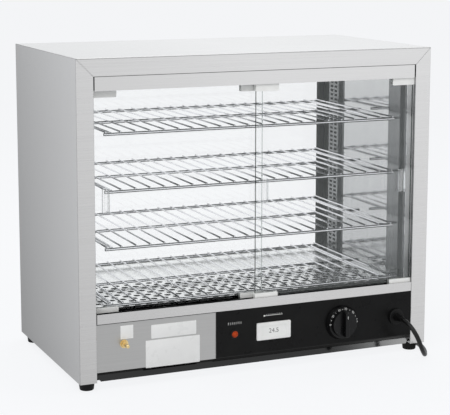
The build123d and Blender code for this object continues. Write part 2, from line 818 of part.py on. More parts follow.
with BuildPart() as heater_tray:
    with BuildSketch(Plane.XY.offset(TRAY_FLOOR)):
        with Locations(TRAY_MIDDLE):
            Rectangle(*TRAY_SIZE)
    extrude(amount=TRAY_WALL)
    offset(amount=-SHEET, openings=faces().sort_by(Axis.Z)[-1])
    add(heater_elements.part, mode=Mode.SUBTRACT)
write(heater_tray, "heater_tray")

with BuildPart() as element_brackets:
    for bracket_x in BRACKET_X:
        with BuildSketch(side_plane(bracket_x)):
            with Locations((TRAY_MIDDLE[1], TRAY_FLOOR + SHEET + BRACKET_RISE / 2)):
                Rectangle(TRAY_SIZE[1] - 2 * SHEET, BRACKET_RISE)
        extrude(amount=SHEET)
    add(heater_elements.part, mode=Mode.SUBTRACT)
write(element_brackets, "element_brackets")

with BuildPart() as tray_supports:
    for support_x in (TRAY_MIDDLE[0] - SUPPORT_X, TRAY_MIDDLE[0] + SUPPORT_X):
        near = support_x - SUPPORT_WIDTH / 2
        far = support_x + SUPPORT_WIDTH / 2
        floor = PAN_Z + SHEET
        hat = [(near, floor), (near, TRAY_FLOOR), (far, TRAY_FLOOR), (far, floor)]
        extrude(section(front_plane(TRAY_Y[0]), hat, Side.RIGHT), amount=-TRAY_SIZE[1])
write(tray_supports, "tray_supports")

# Thermostat: a body behind the fascia, a shaft, a knob, and a bulb on a thin tube
KNOB_X0, KNOB_Z0 = KNOB_SPOT
KNOB_BACK = PANEL_FACE - KNOB_GAP
KNOB_TIP = FRONT - KNOB_PROUD
DISC_FACE = KNOB_BACK - SKIRT_THICK - DISC_THICK
SHAFT_TIP = KNOB_BACK - SHAFT_SEAT
SHAFT_END = FASCIA_INSIDE + SHAFT_INSIDE

with BuildPart() as thermostat:
    with BuildSketch(front_plane(FASCIA_INSIDE)):
        with Locations(KNOB_SPOT):
            Rectangle(THERMOSTAT, THERMOSTAT)
    extrude(amount=-THERMOSTAT_DEEP)
    fillet(edges().filter_by(Axis.Y), THERMOSTAT_ROUND)
    with BuildSketch(front_plane(FASCIA_INSIDE)):
        with Locations(KNOB_SPOT):
            Circle(BUSH / 2)
    extrude(amount=FASCIA_INSIDE - PANEL_FACE + BUSH_PROUD)
    with BuildSketch(front_plane(PANEL_FACE - BUSH_PROUD)):
        with Locations(KNOB_SPOT):
            Circle(SHAFT / 2 + SHAFT_GAP)
    extrude(amount=-(SHAFT_END + BORE_SPARE - PANEL_FACE + BUSH_PROUD), mode=Mode.SUBTRACT)
write(thermostat, "thermostat")

with BuildPart() as thermostat_shaft:
    with BuildSketch(front_plane(SHAFT_TIP)):
        with Locations(KNOB_SPOT):
            Circle(SHAFT / 2)
    extrude(amount=-(SHAFT_END - SHAFT_TIP))
write(thermostat_shaft, "thermostat_shaft")

with BuildPart() as knob:
    with BuildSketch(Plane.XY.offset(KNOB_Z0)):
        with BuildLine():
            Polyline(
                (KNOB_X0, KNOB_BACK),
                (KNOB_X0 + SKIRT / 2, KNOB_BACK),
                (KNOB_X0 + SKIRT / 2 - SKIRT_TAPER, KNOB_BACK - SKIRT_THICK),
                (KNOB_X0 + DISC / 2, KNOB_BACK - SKIRT_THICK),
                (KNOB_X0 + DISC / 2 - DISC_DRAFT, DISC_FACE),
                (KNOB_X0, DISC_FACE),
                close=True,
            )
        make_face()
    revolve(axis=Axis((KNOB_X0, 0, KNOB_Z0), (0, 1, 0)))
    with BuildSketch(front_plane(DISC_FACE)):
        with Locations(KNOB_SPOT):
            SlotOverall(DISC - 2 * DISC_DRAFT, GRIP_WIDTH, rotation=90)
    extrude(amount=DISC_FACE - KNOB_TIP, taper=GRIP_DRAFT)
    fillet(faces().sort_by(Axis.Y)[0].edges(), GRIP_ROUND)
    add(thermostat_shaft.part, mode=Mode.SUBTRACT)
write(knob, "knob")

with BuildPart() as sensor_bulb:
    bulb_y = TRAY_Y[0] - BULB / 2
    bulb_z = TRAY_FLOOR + TRAY_WALL - BULB_DROP
    with BuildSketch(side_plane(BULB_RIGHT - BULB_LENGTH)):
        with Locations((bulb_y, bulb_z)):
            Circle(BULB / 2)
    extrude(amount=BULB_LENGTH)
    body_back = FASCIA_INSIDE + THERMOSTAT_DEEP
    tube_x = KNOB_X0 - THERMOSTAT / 4
    tube_z = KNOB_Z0 + THERMOSTAT / 4
    with BuildLine() as capillary:
        FilletPolyline(
            (tube_x, body_back, tube_z),
            (tube_x, (body_back + bulb_y) / 2, tube_z),
            ((tube_x + BULB_RIGHT) / 2, bulb_y, bulb_z),
            (BULB_RIGHT, bulb_y, bulb_z),
            radius=CAPILLARY_BEND,
        )
    with BuildSketch(Plane(origin=capillary.wire() @ 0, z_dir=capillary.wire() % 0)):
        Circle(CAPILLARY / 2)
    sweep(path=capillary.wire())
write(sensor_bulb, "sensor_bulb")

with BuildPart() as bulb_clips:
    for clip_x in (BULB_RIGHT - BULB_LENGTH + CLIP_INSET, BULB_RIGHT - CLIP_INSET - CLIP_WIDTH):
        with BuildSketch(side_plane(clip_x)):
            with Locations((bulb_y, bulb_z)):
                Circle(BULB / 2 + CLIP_THICK)
            with Locations((TRAY_Y[0] - CLIP_THICK / 2, bulb_z)):
                Rectangle(CLIP_THICK, 2 * CLIP_REACH)
            with Locations((TRAY_Y[0] + CLIP_THICK, bulb_z)):
                Rectangle(2 * CLIP_THICK, 2 * CLIP_REACH, mode=Mode.SUBTRACT)
            with Locations((bulb_y, bulb_z)):
                Circle(BULB / 2, mode=Mode.SUBTRACT)
            with Locations((TRAY_Y[0] - CLIP_THICK / 2, bulb_z)):
                Rectangle(CLIP_THICK, BULB, mode=Mode.SUBTRACT)
        extrude(amount=CLIP_WIDTH)
write(bulb_clips, "bulb_clips")

# Indicator lamp and thermometer
with BuildPart() as lamp_bezel:
    with BuildSketch(front_plane(PANEL_FACE)):
        with Locations(LAMP_SPOT):
            Circle(LAMP / 2 + LAMP_RIM)
    extrude(amount=LAMP_FLANGE)
    fillet(edges().group_by(Axis.Y)[0], LAMP_FLANGE / 2)
    with BuildSketch(front_plane(PANEL_FACE)):
        with Locations(LAMP_SPOT):
            Circle(LAMP / 2)
    extrude(amount=-LAMP_BODY)
    with BuildSketch(front_plane(PANEL_FACE - LAMP_FLANGE)):
        with Locations(LAMP_SPOT):
            Circle(LAMP / 2 - LAMP_WALL)
    extrude(amount=-(LAMP_BODY + LAMP_FLANGE - LAMP_WALL), mode=Mode.SUBTRACT)
write(lamp_bezel, "lamp_bezel")

with BuildPart() as lamp_lens:
    lens = LAMP / 2 - LAMP_WALL
    with BuildSketch(front_plane(PANEL_FACE - LAMP_PROUD)):
        with Locations(LAMP_SPOT):
            Circle(lens)
    extrude(amount=-(LAMP_PROUD + LAMP_BODY - LAMP_WALL))
    fillet(edges().group_by(Axis.Y)[0], lens * 0.4)
write(lamp_lens, "lamp_lens")

with BuildPart() as meter_case:
    with BuildSketch(front_plane(PANEL_FACE)):
        with Locations(METER_SPOT):
            RectangleRounded(METER_WIDTH, METER_HEIGHT, METER_ROUND)
    extrude(amount=METER_PROUD)
    fillet(edges().group_by(Axis.Y)[0], METER_EDGE)
    with BuildSketch(front_plane(PANEL_FACE)):
        with Locations(METER_SPOT):
            Rectangle(METER_WIDTH - 2 * METER_RIM, METER_HEIGHT - 2 * METER_RIM)
    extrude(amount=-METER_BODY)
    with BuildSketch(front_plane(PANEL_FACE - METER_PROUD)):
        with Locations(METER_SPOT):
            Rectangle(WINDOW_WIDTH, WINDOW_HEIGHT)
    extrude(amount=-WINDOW_DEPTH, mode=Mode.SUBTRACT)
write(meter_case, "meter_case")

with BuildPart() as meter_display:
    with BuildSketch(front_plane(PANEL_FACE - METER_PROUD + WINDOW_DEPTH)):
        with Locations(METER_SPOT):
            Rectangle(WINDOW_WIDTH, WINDOW_HEIGHT)
    extrude(amount=DISPLAY)
write(meter_display, "meter_display")

# Earth stud with its nuts and washer
with BuildPart() as earth_stud:
    with BuildSketch(front_plane(FASCIA_FACE - STUD_PROUD)):
        with Locations(STUD_SPOT):
            Circle(STUD / 2)
    extrude(amount=-(STUD_PROUD + SHEET + STUD_INSIDE))
    chamfer(edges().group_by(Axis.Y)[0], STUD_TIP)
write(earth_stud, "earth_stud")

with BuildPart() as earth_nuts:
    with BuildSketch(front_plane(FASCIA_FACE)):
        with Locations(STUD_SPOT):
            Circle(WASHER / 2)
    extrude(amount=WASHER_THICK)
    with BuildSketch(front_plane(FASCIA_FACE - WASHER_THICK)):
        with Locations(STUD_SPOT):
            RegularPolygon(NUT_FLATS / 2, 6, major_radius=False)
    extrude(amount=NUT_THICK)
    with BuildSketch(front_plane(FASCIA_INSIDE)):
        with Locations(STUD_SPOT):
            RegularPolygon(NUT_FLATS / 2, 6, major_radius=False)
    extrude(amount=-NUT_THICK)
    add(earth_stud.part, mode=Mode.SUBTRACT)
write(earth_nuts, "earth_nuts")

# Mains inlet: a gland with its nut, a tapered strain relief and a terminal block
RELIEF_Y = PANEL_FACE - GLAND_THICK
CORD_EXIT = (*GLAND_SPOT, RELIEF_Y - RELIEF_LENGTH)

with BuildPart() as gland:
    with BuildSketch(front_plane(PANEL_FACE)):
        with Locations(GLAND_SPOT):
            Circle(GLAND_FLANGE / 2)
    extrude(amount=GLAND_THICK)
    fillet(edges().group_by(Axis.Y)[0], GLAND_ROUND)
    with BuildSketch(front_plane(PANEL_FACE)):
        with Locations(GLAND_SPOT):
            Circle(GLAND_THREAD / 2)
    extrude(amount=-(OVERLAY + SHEET + GLAND_INSIDE))
write(gland, "gland")

with BuildPart() as gland_nut:
    with BuildSketch(front_plane(FASCIA_INSIDE)):
        with Locations(GLAND_SPOT):
            RegularPolygon(GLAND_NUT / 2, 6, major_radius=False)
            Circle(GLAND_THREAD / 2, mode=Mode.SUBTRACT)
    extrude(amount=-NUT_THICK)
write(gland_nut, "gland_nut")

with BuildPart() as strain_relief:
    with BuildSketch(Plane.XY.offset(GLAND_SPOT[1])):
        with BuildLine():
            root = GLAND_SPOT[0] + RELIEF_ROOT / 2
            tip = GLAND_SPOT[0] + RELIEF_TIP / 2
            Polyline(
                (root, RELIEF_Y),
                (GLAND_SPOT[0], RELIEF_Y),
                (GLAND_SPOT[0], RELIEF_Y - RELIEF_LENGTH),
                (tip, RELIEF_Y - RELIEF_LENGTH),
                close=True,
            )
        make_face()
        # Flex grooves round the sleeve
        for groove in range(1, RELIEF_GROOVES + 1):
            groove_y = RELIEF_Y - RELIEF_LENGTH * groove / (RELIEF_GROOVES + 1)
            with Locations((root, groove_y)):
                Rectangle(RELIEF_ROOT - CORD - GROOVE_WALL, GROOVE_WIDTH, mode=Mode.SUBTRACT)
    revolve(axis=Axis((GLAND_SPOT[0], 0, GLAND_SPOT[1]), (0, 1, 0)))
write(strain_relief, "strain_relief")

with BuildPart() as terminal_block:
    with BuildSketch(Plane.XY.offset(PAN_Z + SHEET)):
        with Locations((LEFT + WIDTH - BLOCK_FROM_RIGHT, FRONT + BLOCK_SET)):
            Rectangle(BLOCK_WIDTH, BLOCK_DEPTH)
    extrude(amount=BLOCK_HEIGHT)
    with BuildSketch(Plane.XY.offset(PAN_Z + SHEET + BLOCK_HEIGHT)):
        with Locations((LEFT + WIDTH - BLOCK_FROM_RIGHT, FRONT + BLOCK_SET)):
            with GridLocations(BLOCK_WIDTH / 3, BLOCK_DEPTH / 2, 3, 2):
                Circle(WIRE_HOLE / 2)
    extrude(amount=-BLOCK_HEIGHT / 2, mode=Mode.SUBTRACT)
write(terminal_block, "terminal_block")

# Feet: tapered rubber, each held by a screw up through the base
with BuildPart() as feet:
    with BuildSketch(Plane.XY.offset(PAN_Z)):
        with Locations(*FOOT_SPOTS):
            Circle(FOOT_TOP / 2)
    foot_taper = math.degrees(math.atan((FOOT_TOP - FOOT_BOTTOM) / 2 / PAN_Z))
    extrude(amount=-PAN_Z, taper=foot_taper)
    fillet(edges().group_by(Axis.Z)[0], FOOT_ROUND)
    with BuildSketch(Plane.XY):
        with Locations(*FOOT_SPOTS):
            Circle(FOOT_HEAD / 2)
    extrude(amount=FOOT_RECESS, mode=Mode.SUBTRACT)
    with BuildSketch(Plane.XY):
        with Locations(*FOOT_SPOTS):
            Circle(FOOT_SCREW / 2)
    extrude(amount=PAN_Z, mode=Mode.SUBTRACT)
write(feet, "feet")

with BuildPart() as foot_screws:
    with BuildSketch(Plane.XY.offset(FOOT_RECESS)):
        with Locations(*FOOT_SPOTS):
            Circle(FOOT_HEAD / 2)
    extrude(amount=-FOOT_HEAD_THICK)
    with BuildSketch(Plane.XY.offset(FOOT_RECESS)):
        with Locations(*FOOT_SPOTS):
            Circle(FOOT_SCREW / 2)
    extrude(amount=PAN_Z - FOOT_RECESS + FOOT_SCREW_RISE)
write(foot_screws, "foot_screws")

# Mains lead: it drops from the relief, rounds the right front foot and runs under the case
CORD_Z = CORD / 2 + CORD_LIFT
COIL_SPOT = (COIL_X, BACK + COIL_BEHIND + COIL_START)


def coil_stops():
    """Ends of the coil's half turns, with the direction of the cord at each."""
    stops = []
    radius = COIL_START
    climbed = 0
    for half in range(HALF_TURNS_IN + HALF_TURNS_OUT + 2):
        side = -1 if half % 2 == 0 else 1
        x, y = COIL_SPOT
        spot = Vector(x, y + side * radius, CORD_Z + climbed * COIL_PITCH)
        stops.append((spot, Vector(side, 0, 0)))
        if half < HALF_TURNS_IN:
            radius -= COIL_PITCH / 2
        elif half == HALF_TURNS_IN:
            climbed = 1
        else:
            radius += COIL_PITCH / 2
    return stops


def coil_path():
    """The coil's line: a straight end, two arcs for each half turn, and a straight end."""
    stops = coil_stops()
    with BuildLine() as path:
        first, heading = stops[0]
        Line(first - heading * CORD, first)
        for (start, leaving), (end, arriving) in zip(stops, stops[1:]):
            reach = (end - start).length / 2
            near = start + leaving * reach
            far = end - arriving * reach
            middle = (near + far) * 0.5
            TangentArc(start, middle, tangent=leaving)
            TangentArc(middle, end, tangent=far - near)
        last, heading = stops[-1]
        Line(last, last + heading * CORD)
    return path.wire()


def least_gap(path):
    """Least gap between the coil's turns, on points a millimetre or two apart."""
    count = int(path.length / 1.5)
    points = [path @ (index / count) for index in range(count + 1)]
    apart = int(3 * CORD / 1.5)
    gap = min(
        (points[i] - points[j]).length
        for i in range(0, count + 1)
        for j in range(i + apart, count + 1)
    )
    return gap - CORD


def corner_radii(points):
    """Largest arc for each corner: nearly all of an end run, or nearly half of a run it shares."""
    radii = []
    last = len(points) - 3
    for corner in range(last + 1):
        coming = Vector(*points[corner + 1]) - Vector(*points[corner])
        going = Vector(*points[corner + 2]) - Vector(*points[corner + 1])
        turn = math.radians(coming.get_angle(going))
        before = coming.length * (0.95 if corner == 0 else 0.475)
        after = going.length * (0.95 if corner == last else 0.475)
        radii.append(min(before, after) / math.tan(turn / 2))
    return radii


def cord_tube(name, points):
    """A round lead along a route of straight runs joined by arcs."""
    radii = corner_radii(points)
    with BuildPart() as tube:
        with BuildLine() as route:
            FilletPolyline(*points, radius=radii)
        with BuildSketch(Plane(origin=route.wire() @ 0, z_dir=route.wire() % 0)):
            Circle(CORD / 2)
        sweep(path=route.wire())
    expected = math.pi * CORD**2 / 4 * route.wire().length
    print(name, "radii", [round(radius) for radius in radii])
    print(name, "length", round(route.wire().length), "volume ratio", tube.part.volume / expected)
    write(tube, name)


coil_line = coil_path()
coil_entry = coil_line @ 0
coil_exit = coil_line @ 1
CORD_ROUTE = [
    (GLAND_SPOT[0], RELIEF_Y - RELIEF_LENGTH, GLAND_SPOT[1]),
    (261, -196, 68),
    (264.5, -212, 59.5),
    (270.7, -221.3, 44.6),
    (278.5, -221.3, 26),
    (288.4, -214.1, 12),
    (299.1, -201.1, CORD_Z),
    (314, -175, CORD_Z),
    (323, -148, CORD_Z),
    (325, -120, CORD_Z),
    (318, -85, CORD_Z),
    (300, -30, CORD_Z),
    (287, 40, CORD_Z),
    (285, 140, CORD_Z),
    (274.7, 168.2, CORD_Z),
    (240.8, 202.1, CORD_Z),
    (coil_entry.X + 11.8, coil_entry.Y, CORD_Z),
    (coil_entry.X, coil_entry.Y, CORD_Z),
]
cord_tube("cord", CORD_ROUTE)

with BuildPart() as cord_coil:
    with BuildSketch(Plane(origin=coil_entry, z_dir=coil_line % 0)):
        Circle(CORD / 2)
    sweep(path=coil_line)
coil_volume = math.pi * CORD**2 / 4 * coil_line.length
print("coil length", round(coil_line.length), "volume ratio", cord_coil.part.volume / coil_volume)
print("coil least gap to itself", round(least_gap(coil_line), 2))
write(cord_coil, "cord_coil")

# Plug: moulded body with a tapered relief, lying on the floor beside the coil, and three flat pins
with BuildPart() as plug:
    body_start = coil_exit.X - PLUG_RELIEF
    with BuildSketch(side_plane(coil_exit.X)):
        with Locations((coil_exit.Y, coil_exit.Z)):
            Circle(RELIEF_TIP / 2)
    with BuildSketch(side_plane(body_start)):
        with Locations((coil_exit.Y, coil_exit.Z)):
            Circle(RELIEF_ROOT / 2)
    loft()
    with BuildSketch(side_plane(body_start)):
        with Locations((coil_exit.Y, coil_exit.Z)):
            RectangleRounded(PLUG_NECK, PLUG_NECK, PLUG_NECK / 3)
    with BuildSketch(side_plane(body_start - PLUG_BODY)):
        with Locations((coil_exit.Y, coil_exit.Z)):
            RectangleRounded(PLUG_WIDTH, PLUG_HEIGHT, PLUG_HEIGHT / 3)
    loft()
write(plug, "plug")

with BuildPart() as plug_pins:
    pin_plane = Plane(
        origin=(body_start - PLUG_BODY, coil_exit.Y, coil_exit.Z),
        x_dir=(0, 1, 0),
        z_dir=(-1, 0, 0),
    )
    with BuildSketch(pin_plane):
        with Locations((0, -PIN_SPREAD / 2)):
            Rectangle(PIN_THICK, PIN_WIDTH)
        with Locations(Location((PIN_SPREAD / 2, PIN_LIFT), 30)):
            Rectangle(PIN_THICK, PIN_WIDTH)
        with Locations(Location((-PIN_SPREAD / 2, PIN_LIFT), -30)):
            Rectangle(PIN_THICK, PIN_WIDTH)
    extrude(amount=PIN_LENGTH)
write(plug_pins, "plug_pins")
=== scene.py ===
import logging
import math
from abc import ABC, abstractmethod
from collections.abc import Callable, Iterator
from contextlib import contextmanager
from dataclasses import dataclass
from enum import Enum

import bpy
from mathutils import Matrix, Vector


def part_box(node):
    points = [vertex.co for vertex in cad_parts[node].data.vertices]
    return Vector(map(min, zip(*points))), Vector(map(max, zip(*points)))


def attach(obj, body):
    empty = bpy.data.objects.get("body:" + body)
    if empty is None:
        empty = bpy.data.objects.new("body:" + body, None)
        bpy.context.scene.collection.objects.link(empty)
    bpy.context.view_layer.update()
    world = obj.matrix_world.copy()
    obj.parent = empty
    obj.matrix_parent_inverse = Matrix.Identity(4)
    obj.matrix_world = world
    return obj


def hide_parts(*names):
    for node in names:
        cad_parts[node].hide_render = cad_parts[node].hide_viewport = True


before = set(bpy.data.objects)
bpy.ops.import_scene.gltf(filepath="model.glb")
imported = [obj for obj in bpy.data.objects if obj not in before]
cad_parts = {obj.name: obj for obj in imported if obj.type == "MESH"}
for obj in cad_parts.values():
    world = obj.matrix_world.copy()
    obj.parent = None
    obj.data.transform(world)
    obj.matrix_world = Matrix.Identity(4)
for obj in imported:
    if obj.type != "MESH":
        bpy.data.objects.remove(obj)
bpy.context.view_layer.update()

MM = 0.001
LOG = logging.getLogger("pie_warmer")
CASE_LEFT, CASE_FRONT, CASE_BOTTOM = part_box("left_side_panel")[0]
CASE_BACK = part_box("left_side_panel")[1].y
CASE_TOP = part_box("top_panel")[1].z


class Grain(Enum):
    """Direction of a surface's brush lines, as repeats for each metre along X, Y and Z.

    Real lines are under 0.1 mm wide. They are drawn about 0.7 mm wide, or none would show.
    """

    ALONG_X = (4.0, 1500.0, 1500.0)
    ALONG_Z = (1500.0, 1500.0, 4.0)


class Body(str, Enum):
    """The moving bodies that new pieces ride on."""

    CABINET = "cabinet"
    KNOB = "knob"


def linear(code: str) -> tuple[float, float, float, float]:
    """Turn an sRGB colour into scene-linear values.

    Args:
        code: Colour as six hexadecimal digits.

    Returns:
        Red, green, blue and alpha.
    """
    parts = [int(code[place : place + 2], 16) / 255 for place in (0, 2, 4)]
    values = [c / 12.92 if c <= 0.04045 else ((c + 0.055) / 1.055) ** 2.4 for c in parts]
    return (*values, 1.0)


COLOURS = {"data_type": "RGBA"}
TIMES = {"operation": "MULTIPLY"}
POSITIVE = {"operation": "ABSOLUTE"}
LARGER = {"operation": "MAXIMUM"}
MIDDLE = {"From_Min": 0.3, "From_Max": 0.7}


class Nodes:
    """The node tree of a material or world, grown by one call for each node."""

    def __init__(self, owner: bpy.types.Material | bpy.types.World) -> None:
        """Start with an empty tree."""
        owner.use_nodes = True
        self.tree = owner.node_tree
        self.tree.nodes.clear()

    def add(
        self, kind: str, settings: dict[str, object] | None = None, **sockets: object
    ) -> bpy.types.Node:
        """Add a node with its settings, values and links.

        Args:
            kind: Its type, without the leading "ShaderNode".
            settings: Its properties.
            sockets: For each input a value, an output, or a node whose first output is meant.
                An input is named with underscores for spaces, or numbered after one.

        Returns:
            The new node.
        """
        node = self.tree.nodes.new(f"ShaderNode{kind}")
        for name, value in (settings or {}).items():
            setattr(node, name, value)
        for name, value in sockets.items():
            target = node.inputs[int(name[1:]) if name[0] == "_" else name.replace("_", " ")]
            if isinstance(value, bpy.types.Node):
                value = next(out for out in value.outputs if out.enabled)
            if isinstance(value, bpy.types.NodeSocket):
                self.tree.links.new(value, target)
            else:
                target.default_value = value
        return node

    def pattern(self, repeats: tuple[float, float, float], detail: float) -> bpy.types.Node:
        """Noise over the object's own coordinates.

        Args:
            repeats: Repeats for each metre along X, Y and Z.
            detail: How many finer layers it has.

        Returns:
            The noise.
        """
        place = self.add("TexCoord").outputs["Object"]
        stretched = self.add("Mapping", Vector=place, Scale=repeats)
        return self.add("TexNoise", Vector=stretched, Scale=1.0, Detail=detail, Roughness=0.6)

    def along(self, axis: str) -> bpy.types.NodeSocket:
        """The object's coordinate along an axis, in metres."""
        place = self.add("TexCoord").outputs["Object"]
        return self.add("SeparateXYZ", Vector=place).outputs[axis]

    def facing(self, axis: str, normal: str = "Normal") -> bpy.types.NodeSocket:
        """How far a face looks along an axis, from -1 to 1."""
        direction = self.add("NewGeometry").outputs[normal]
        return self.add("SeparateXYZ", Vector=direction).outputs[axis]


@dataclass(frozen=True)
class Finish(ABC):
    """A surface finish, named after what it covers."""

    name: str

    @abstractmethod
    def surface(self, nodes: Nodes) -> dict[str, object]:
        """What goes into the shader's inputs, as values and nodes."""

    def material(self) -> bpy.types.Material:
        """The finish's material, built once."""
        ready = bpy.data.materials.get(self.name)
        if ready:
            return ready
        made = bpy.data.materials.new(self.name)
        nodes = Nodes(made)
        shader = nodes.add("BsdfPrincipled", **self.surface(nodes))
        nodes.add("OutputMaterial", Surface=shader)
        return made


@dataclass(frozen=True)
class Toned(Finish):
    """A finish whose colour varies between two tones."""

    dark: str
    light: str

    def mottled(self, nodes: Nodes, marks: bpy.types.Node) -> bpy.types.Node:
        """Spread the two tones over a pattern."""
        share = nodes.add("MapRange", Value=marks, **MIDDLE)
        dark, light = linear(self.dark), linear(self.light)
        return nodes.add("Mix", COLOURS, Factor=share, A=dark, B=light)


@dataclass(frozen=True)
class BrushedSteel(Toned):
    """Stainless sheet with a directional grain, toned as the studio shades it.

    The tone runs from dark to light by shares: of the grain, and of painted shade by height and
    by width. Faces that look sideways may have their own pair of tones, painted shade lighter
    towards the front and the top, and then the folds at the front get painted shaded lines.
    """

    grain: Grain = Grain.ALONG_X
    roughness: float = 0.3
    by_height: float = 0.0
    by_width: float = 0.0
    side_dark: str | None = None
    side_light: str | None = None
    side_grain: float = 0.1
    side_ramp: float = 0.45
    fold_shade: str = "4A4A4A"
    fold: float = 1.2 * MM
    fold_blur: float = 0.6 * MM
    fold_shade_strength: float = 0.6
    crease: float = 1.1 * MM
    crease_shade_strength: float = 0.35

    def ramp(
        self, nodes: Nodes, axis: str, start: float, end: float, share: float
    ) -> bpy.types.Node:
        """A value that grows along an axis from nought to a share of the tone.

        Args:
            nodes: The tree.
            axis: "X", "Y" or "Z".
            start: Where it begins.
            end: Where it is full.
            share: Its full value.

        Returns:
            The node that gives it.
        """
        place = nodes.along(axis)
        return nodes.add("MapRange", Value=place, From_Min=start, From_Max=end, To_Max=share)

    def tone(
        self, nodes: Nodes, dark: str, light: str, shares: list[bpy.types.Node]
    ) -> bpy.types.Node:
        """Mix two colours by the sum of several values.

        Args:
            nodes: The tree.
            dark: Colour for nought.
            light: Colour for one.
            shares: Nodes whose results are added.

        Returns:
            The mix.
        """
        total = shares[0]
        for share in shares[1:]:
            total = nodes.add("Math", _0=total, _1=share)
        return nodes.add("Mix", COLOURS, Factor=total, A=linear(dark), B=linear(light))

    def fold_shaded(
        self, nodes: Nodes, colour: bpy.types.Node, line: bpy.types.Node, axis: str
    ) -> bpy.types.Node:
        """Paint a shaded line where the sheet is folded, on one pair of its faces.

        Args:
            nodes: The tree.
            colour: The sheet's colour.
            line: Grows in the fold.
            axis: Axis that those faces look along.

        Returns:
            The mix.
        """
        looks = nodes.facing(axis)
        squared = nodes.add("Math", TIMES, _0=looks, _1=looks)
        share = nodes.add("Math", TIMES, _0=squared, _1=line)
        return nodes.add("Mix", COLOURS, Factor=share, A=colour, B=linear(self.fold_shade))

    def sides_shaded(
        self, nodes: Nodes, lines: bpy.types.Node, colour: bpy.types.Node
    ) -> bpy.types.Node:
        """Paint shade on the sides, lighter to front and top, and shaded lines in the front
        folds.

        Args:
            nodes: The tree.
            lines: The grain.
            colour: Colour of the faces that don't look sideways.

        Returns:
            The mix.
        """
        shares = [
            nodes.add("MapRange", Value=lines, To_Max=self.side_grain, **MIDDLE),
            self.ramp(nodes, "Y", CASE_BACK, CASE_FRONT, self.side_ramp),
            self.ramp(nodes, "Z", 0.0, CASE_TOP, self.side_ramp),
        ]
        side = self.tone(nodes, self.side_dark, self.side_light, shares)
        edge = CASE_FRONT + self.crease
        line = self.ramp(nodes, "Y", edge + self.fold_blur, edge, self.crease_shade_strength)
        side = self.fold_shaded(nodes, side, line, "X")
        edge = CASE_TOP - self.fold
        line = self.ramp(nodes, "Z", edge - self.fold_blur, edge, self.fold_shade_strength)
        colour = self.fold_shaded(nodes, colour, line, "Y")
        sideways = nodes.add("Math", POSITIVE, _0=nodes.facing("X"))
        return nodes.add("Mix", COLOURS, Factor=sideways, A=colour, B=side)

    def surface(self, nodes: Nodes) -> dict[str, object]:
        """Fine lines in colour, gloss and relief over the broad tone of painted shade."""
        lines = nodes.pattern(self.grain.value, 4.0)
        even = 1.0 - self.by_height - self.by_width
        shares = [
            nodes.add("MapRange", Value=lines, To_Max=even, **MIDDLE),
            self.ramp(nodes, "Z", CASE_BOTTOM, CASE_TOP, self.by_height),
            self.ramp(nodes, "X", CASE_LEFT, 0.0, self.by_width),
        ]
        colour = self.tone(nodes, self.dark, self.light, shares)
        if self.side_dark and self.side_light:
            colour = self.sides_shaded(nodes, lines, colour)
        low, high = self.roughness - 0.05, self.roughness + 0.06
        return {
            "Base_Color": colour,
            "Metallic": 1.0,
            "Roughness": nodes.add("MapRange", Value=lines, To_Min=low, To_Max=high, **MIDDLE),
            "Normal": nodes.add("Bump", Height=lines, Strength=0.15, Distance=0.03 * MM),
        }


@dataclass(frozen=True)
class LipSteel(Finish):
    """Polished sheet whose front lip has a painted dark reflection, darker towards the left."""

    sheet: str
    dark_reflection: str
    # Lighter end of the painted reflection, towards the right
    clear: str
    left: float = 120 * MM
    right: float = 300 * MM

    def surface(self, nodes: Nodes) -> dict[str, object]:
        """Painted reflection along X on faces that look forward, plain sheet elsewhere."""
        lines = nodes.pattern(Grain.ALONG_X.value, 3.0)
        smooth = {"interpolation_type": "SMOOTHSTEP"}
        ends = {"From_Min": self.left, "From_Max": self.right}
        run = nodes.add("MapRange", smooth, Value=nodes.along("X"), **ends)
        dark_reflection, clear = linear(self.dark_reflection), linear(self.clear)
        tone = nodes.add("Mix", COLOURS, Factor=run, A=dark_reflection, B=clear)
        forward = nodes.add("MapRange", Value=nodes.facing("Y"), From_Min=-0.2, From_Max=-0.4)
        return {
            "Base_Color": nodes.add(
                "Mix", COLOURS, Factor=forward, A=linear(self.sheet), B=tone
            ),
            "Metallic": 1.0,
            "Roughness": nodes.add("MapRange", Value=lines, To_Min=0.1, To_Max=0.18, **MIDDLE),
        }


@dataclass(frozen=True)
class Bright(Toned):
    """Plated or polished metal with faint marks."""

    roughness: float = 0.12
    repeats: float = 90.0

    def surface(self, nodes: Nodes) -> dict[str, object]:
        """Slight waves in colour and gloss, as on plating."""
        marks = nodes.pattern((self.repeats,) * 3, 3.0)
        low, high = self.roughness, self.roughness + 0.1
        return {
            "Base_Color": self.mottled(nodes, marks),
            "Metallic": 1.0,
            "Roughness": nodes.add("MapRange", Value=marks, To_Min=low, To_Max=high, **MIDDLE),
            "Normal": nodes.add("Bump", Height=marks, Strength=0.2, Distance=0.04 * MM),
        }


@dataclass(frozen=True)
class Moulded(Toned):
    """Plastic, rubber or print: a fine even texture over a solid colour."""

    roughness: float = 0.45
    repeats: float = 1200.0
    depth: float = 0.04 * MM
    specular: float = 0.5

    def surface(self, nodes: Nodes) -> dict[str, object]:
        """Fine pimples, with the gloss varying over a few centimetres."""
        pimples = nodes.pattern((self.repeats,) * 3, 2.0)
        wear = nodes.pattern((40.0,) * 3, 3.0)
        low, high = self.roughness - 0.05, self.roughness + 0.07
        return {
            "Base_Color": self.mottled(nodes, wear),
            "Roughness": nodes.add("MapRange", Value=wear, To_Min=low, To_Max=high, **MIDDLE),
            "Specular_IOR_Level": self.specular,
            "Normal": nodes.add("Bump", Height=pimples, Strength=0.3, Distance=self.depth),
        }


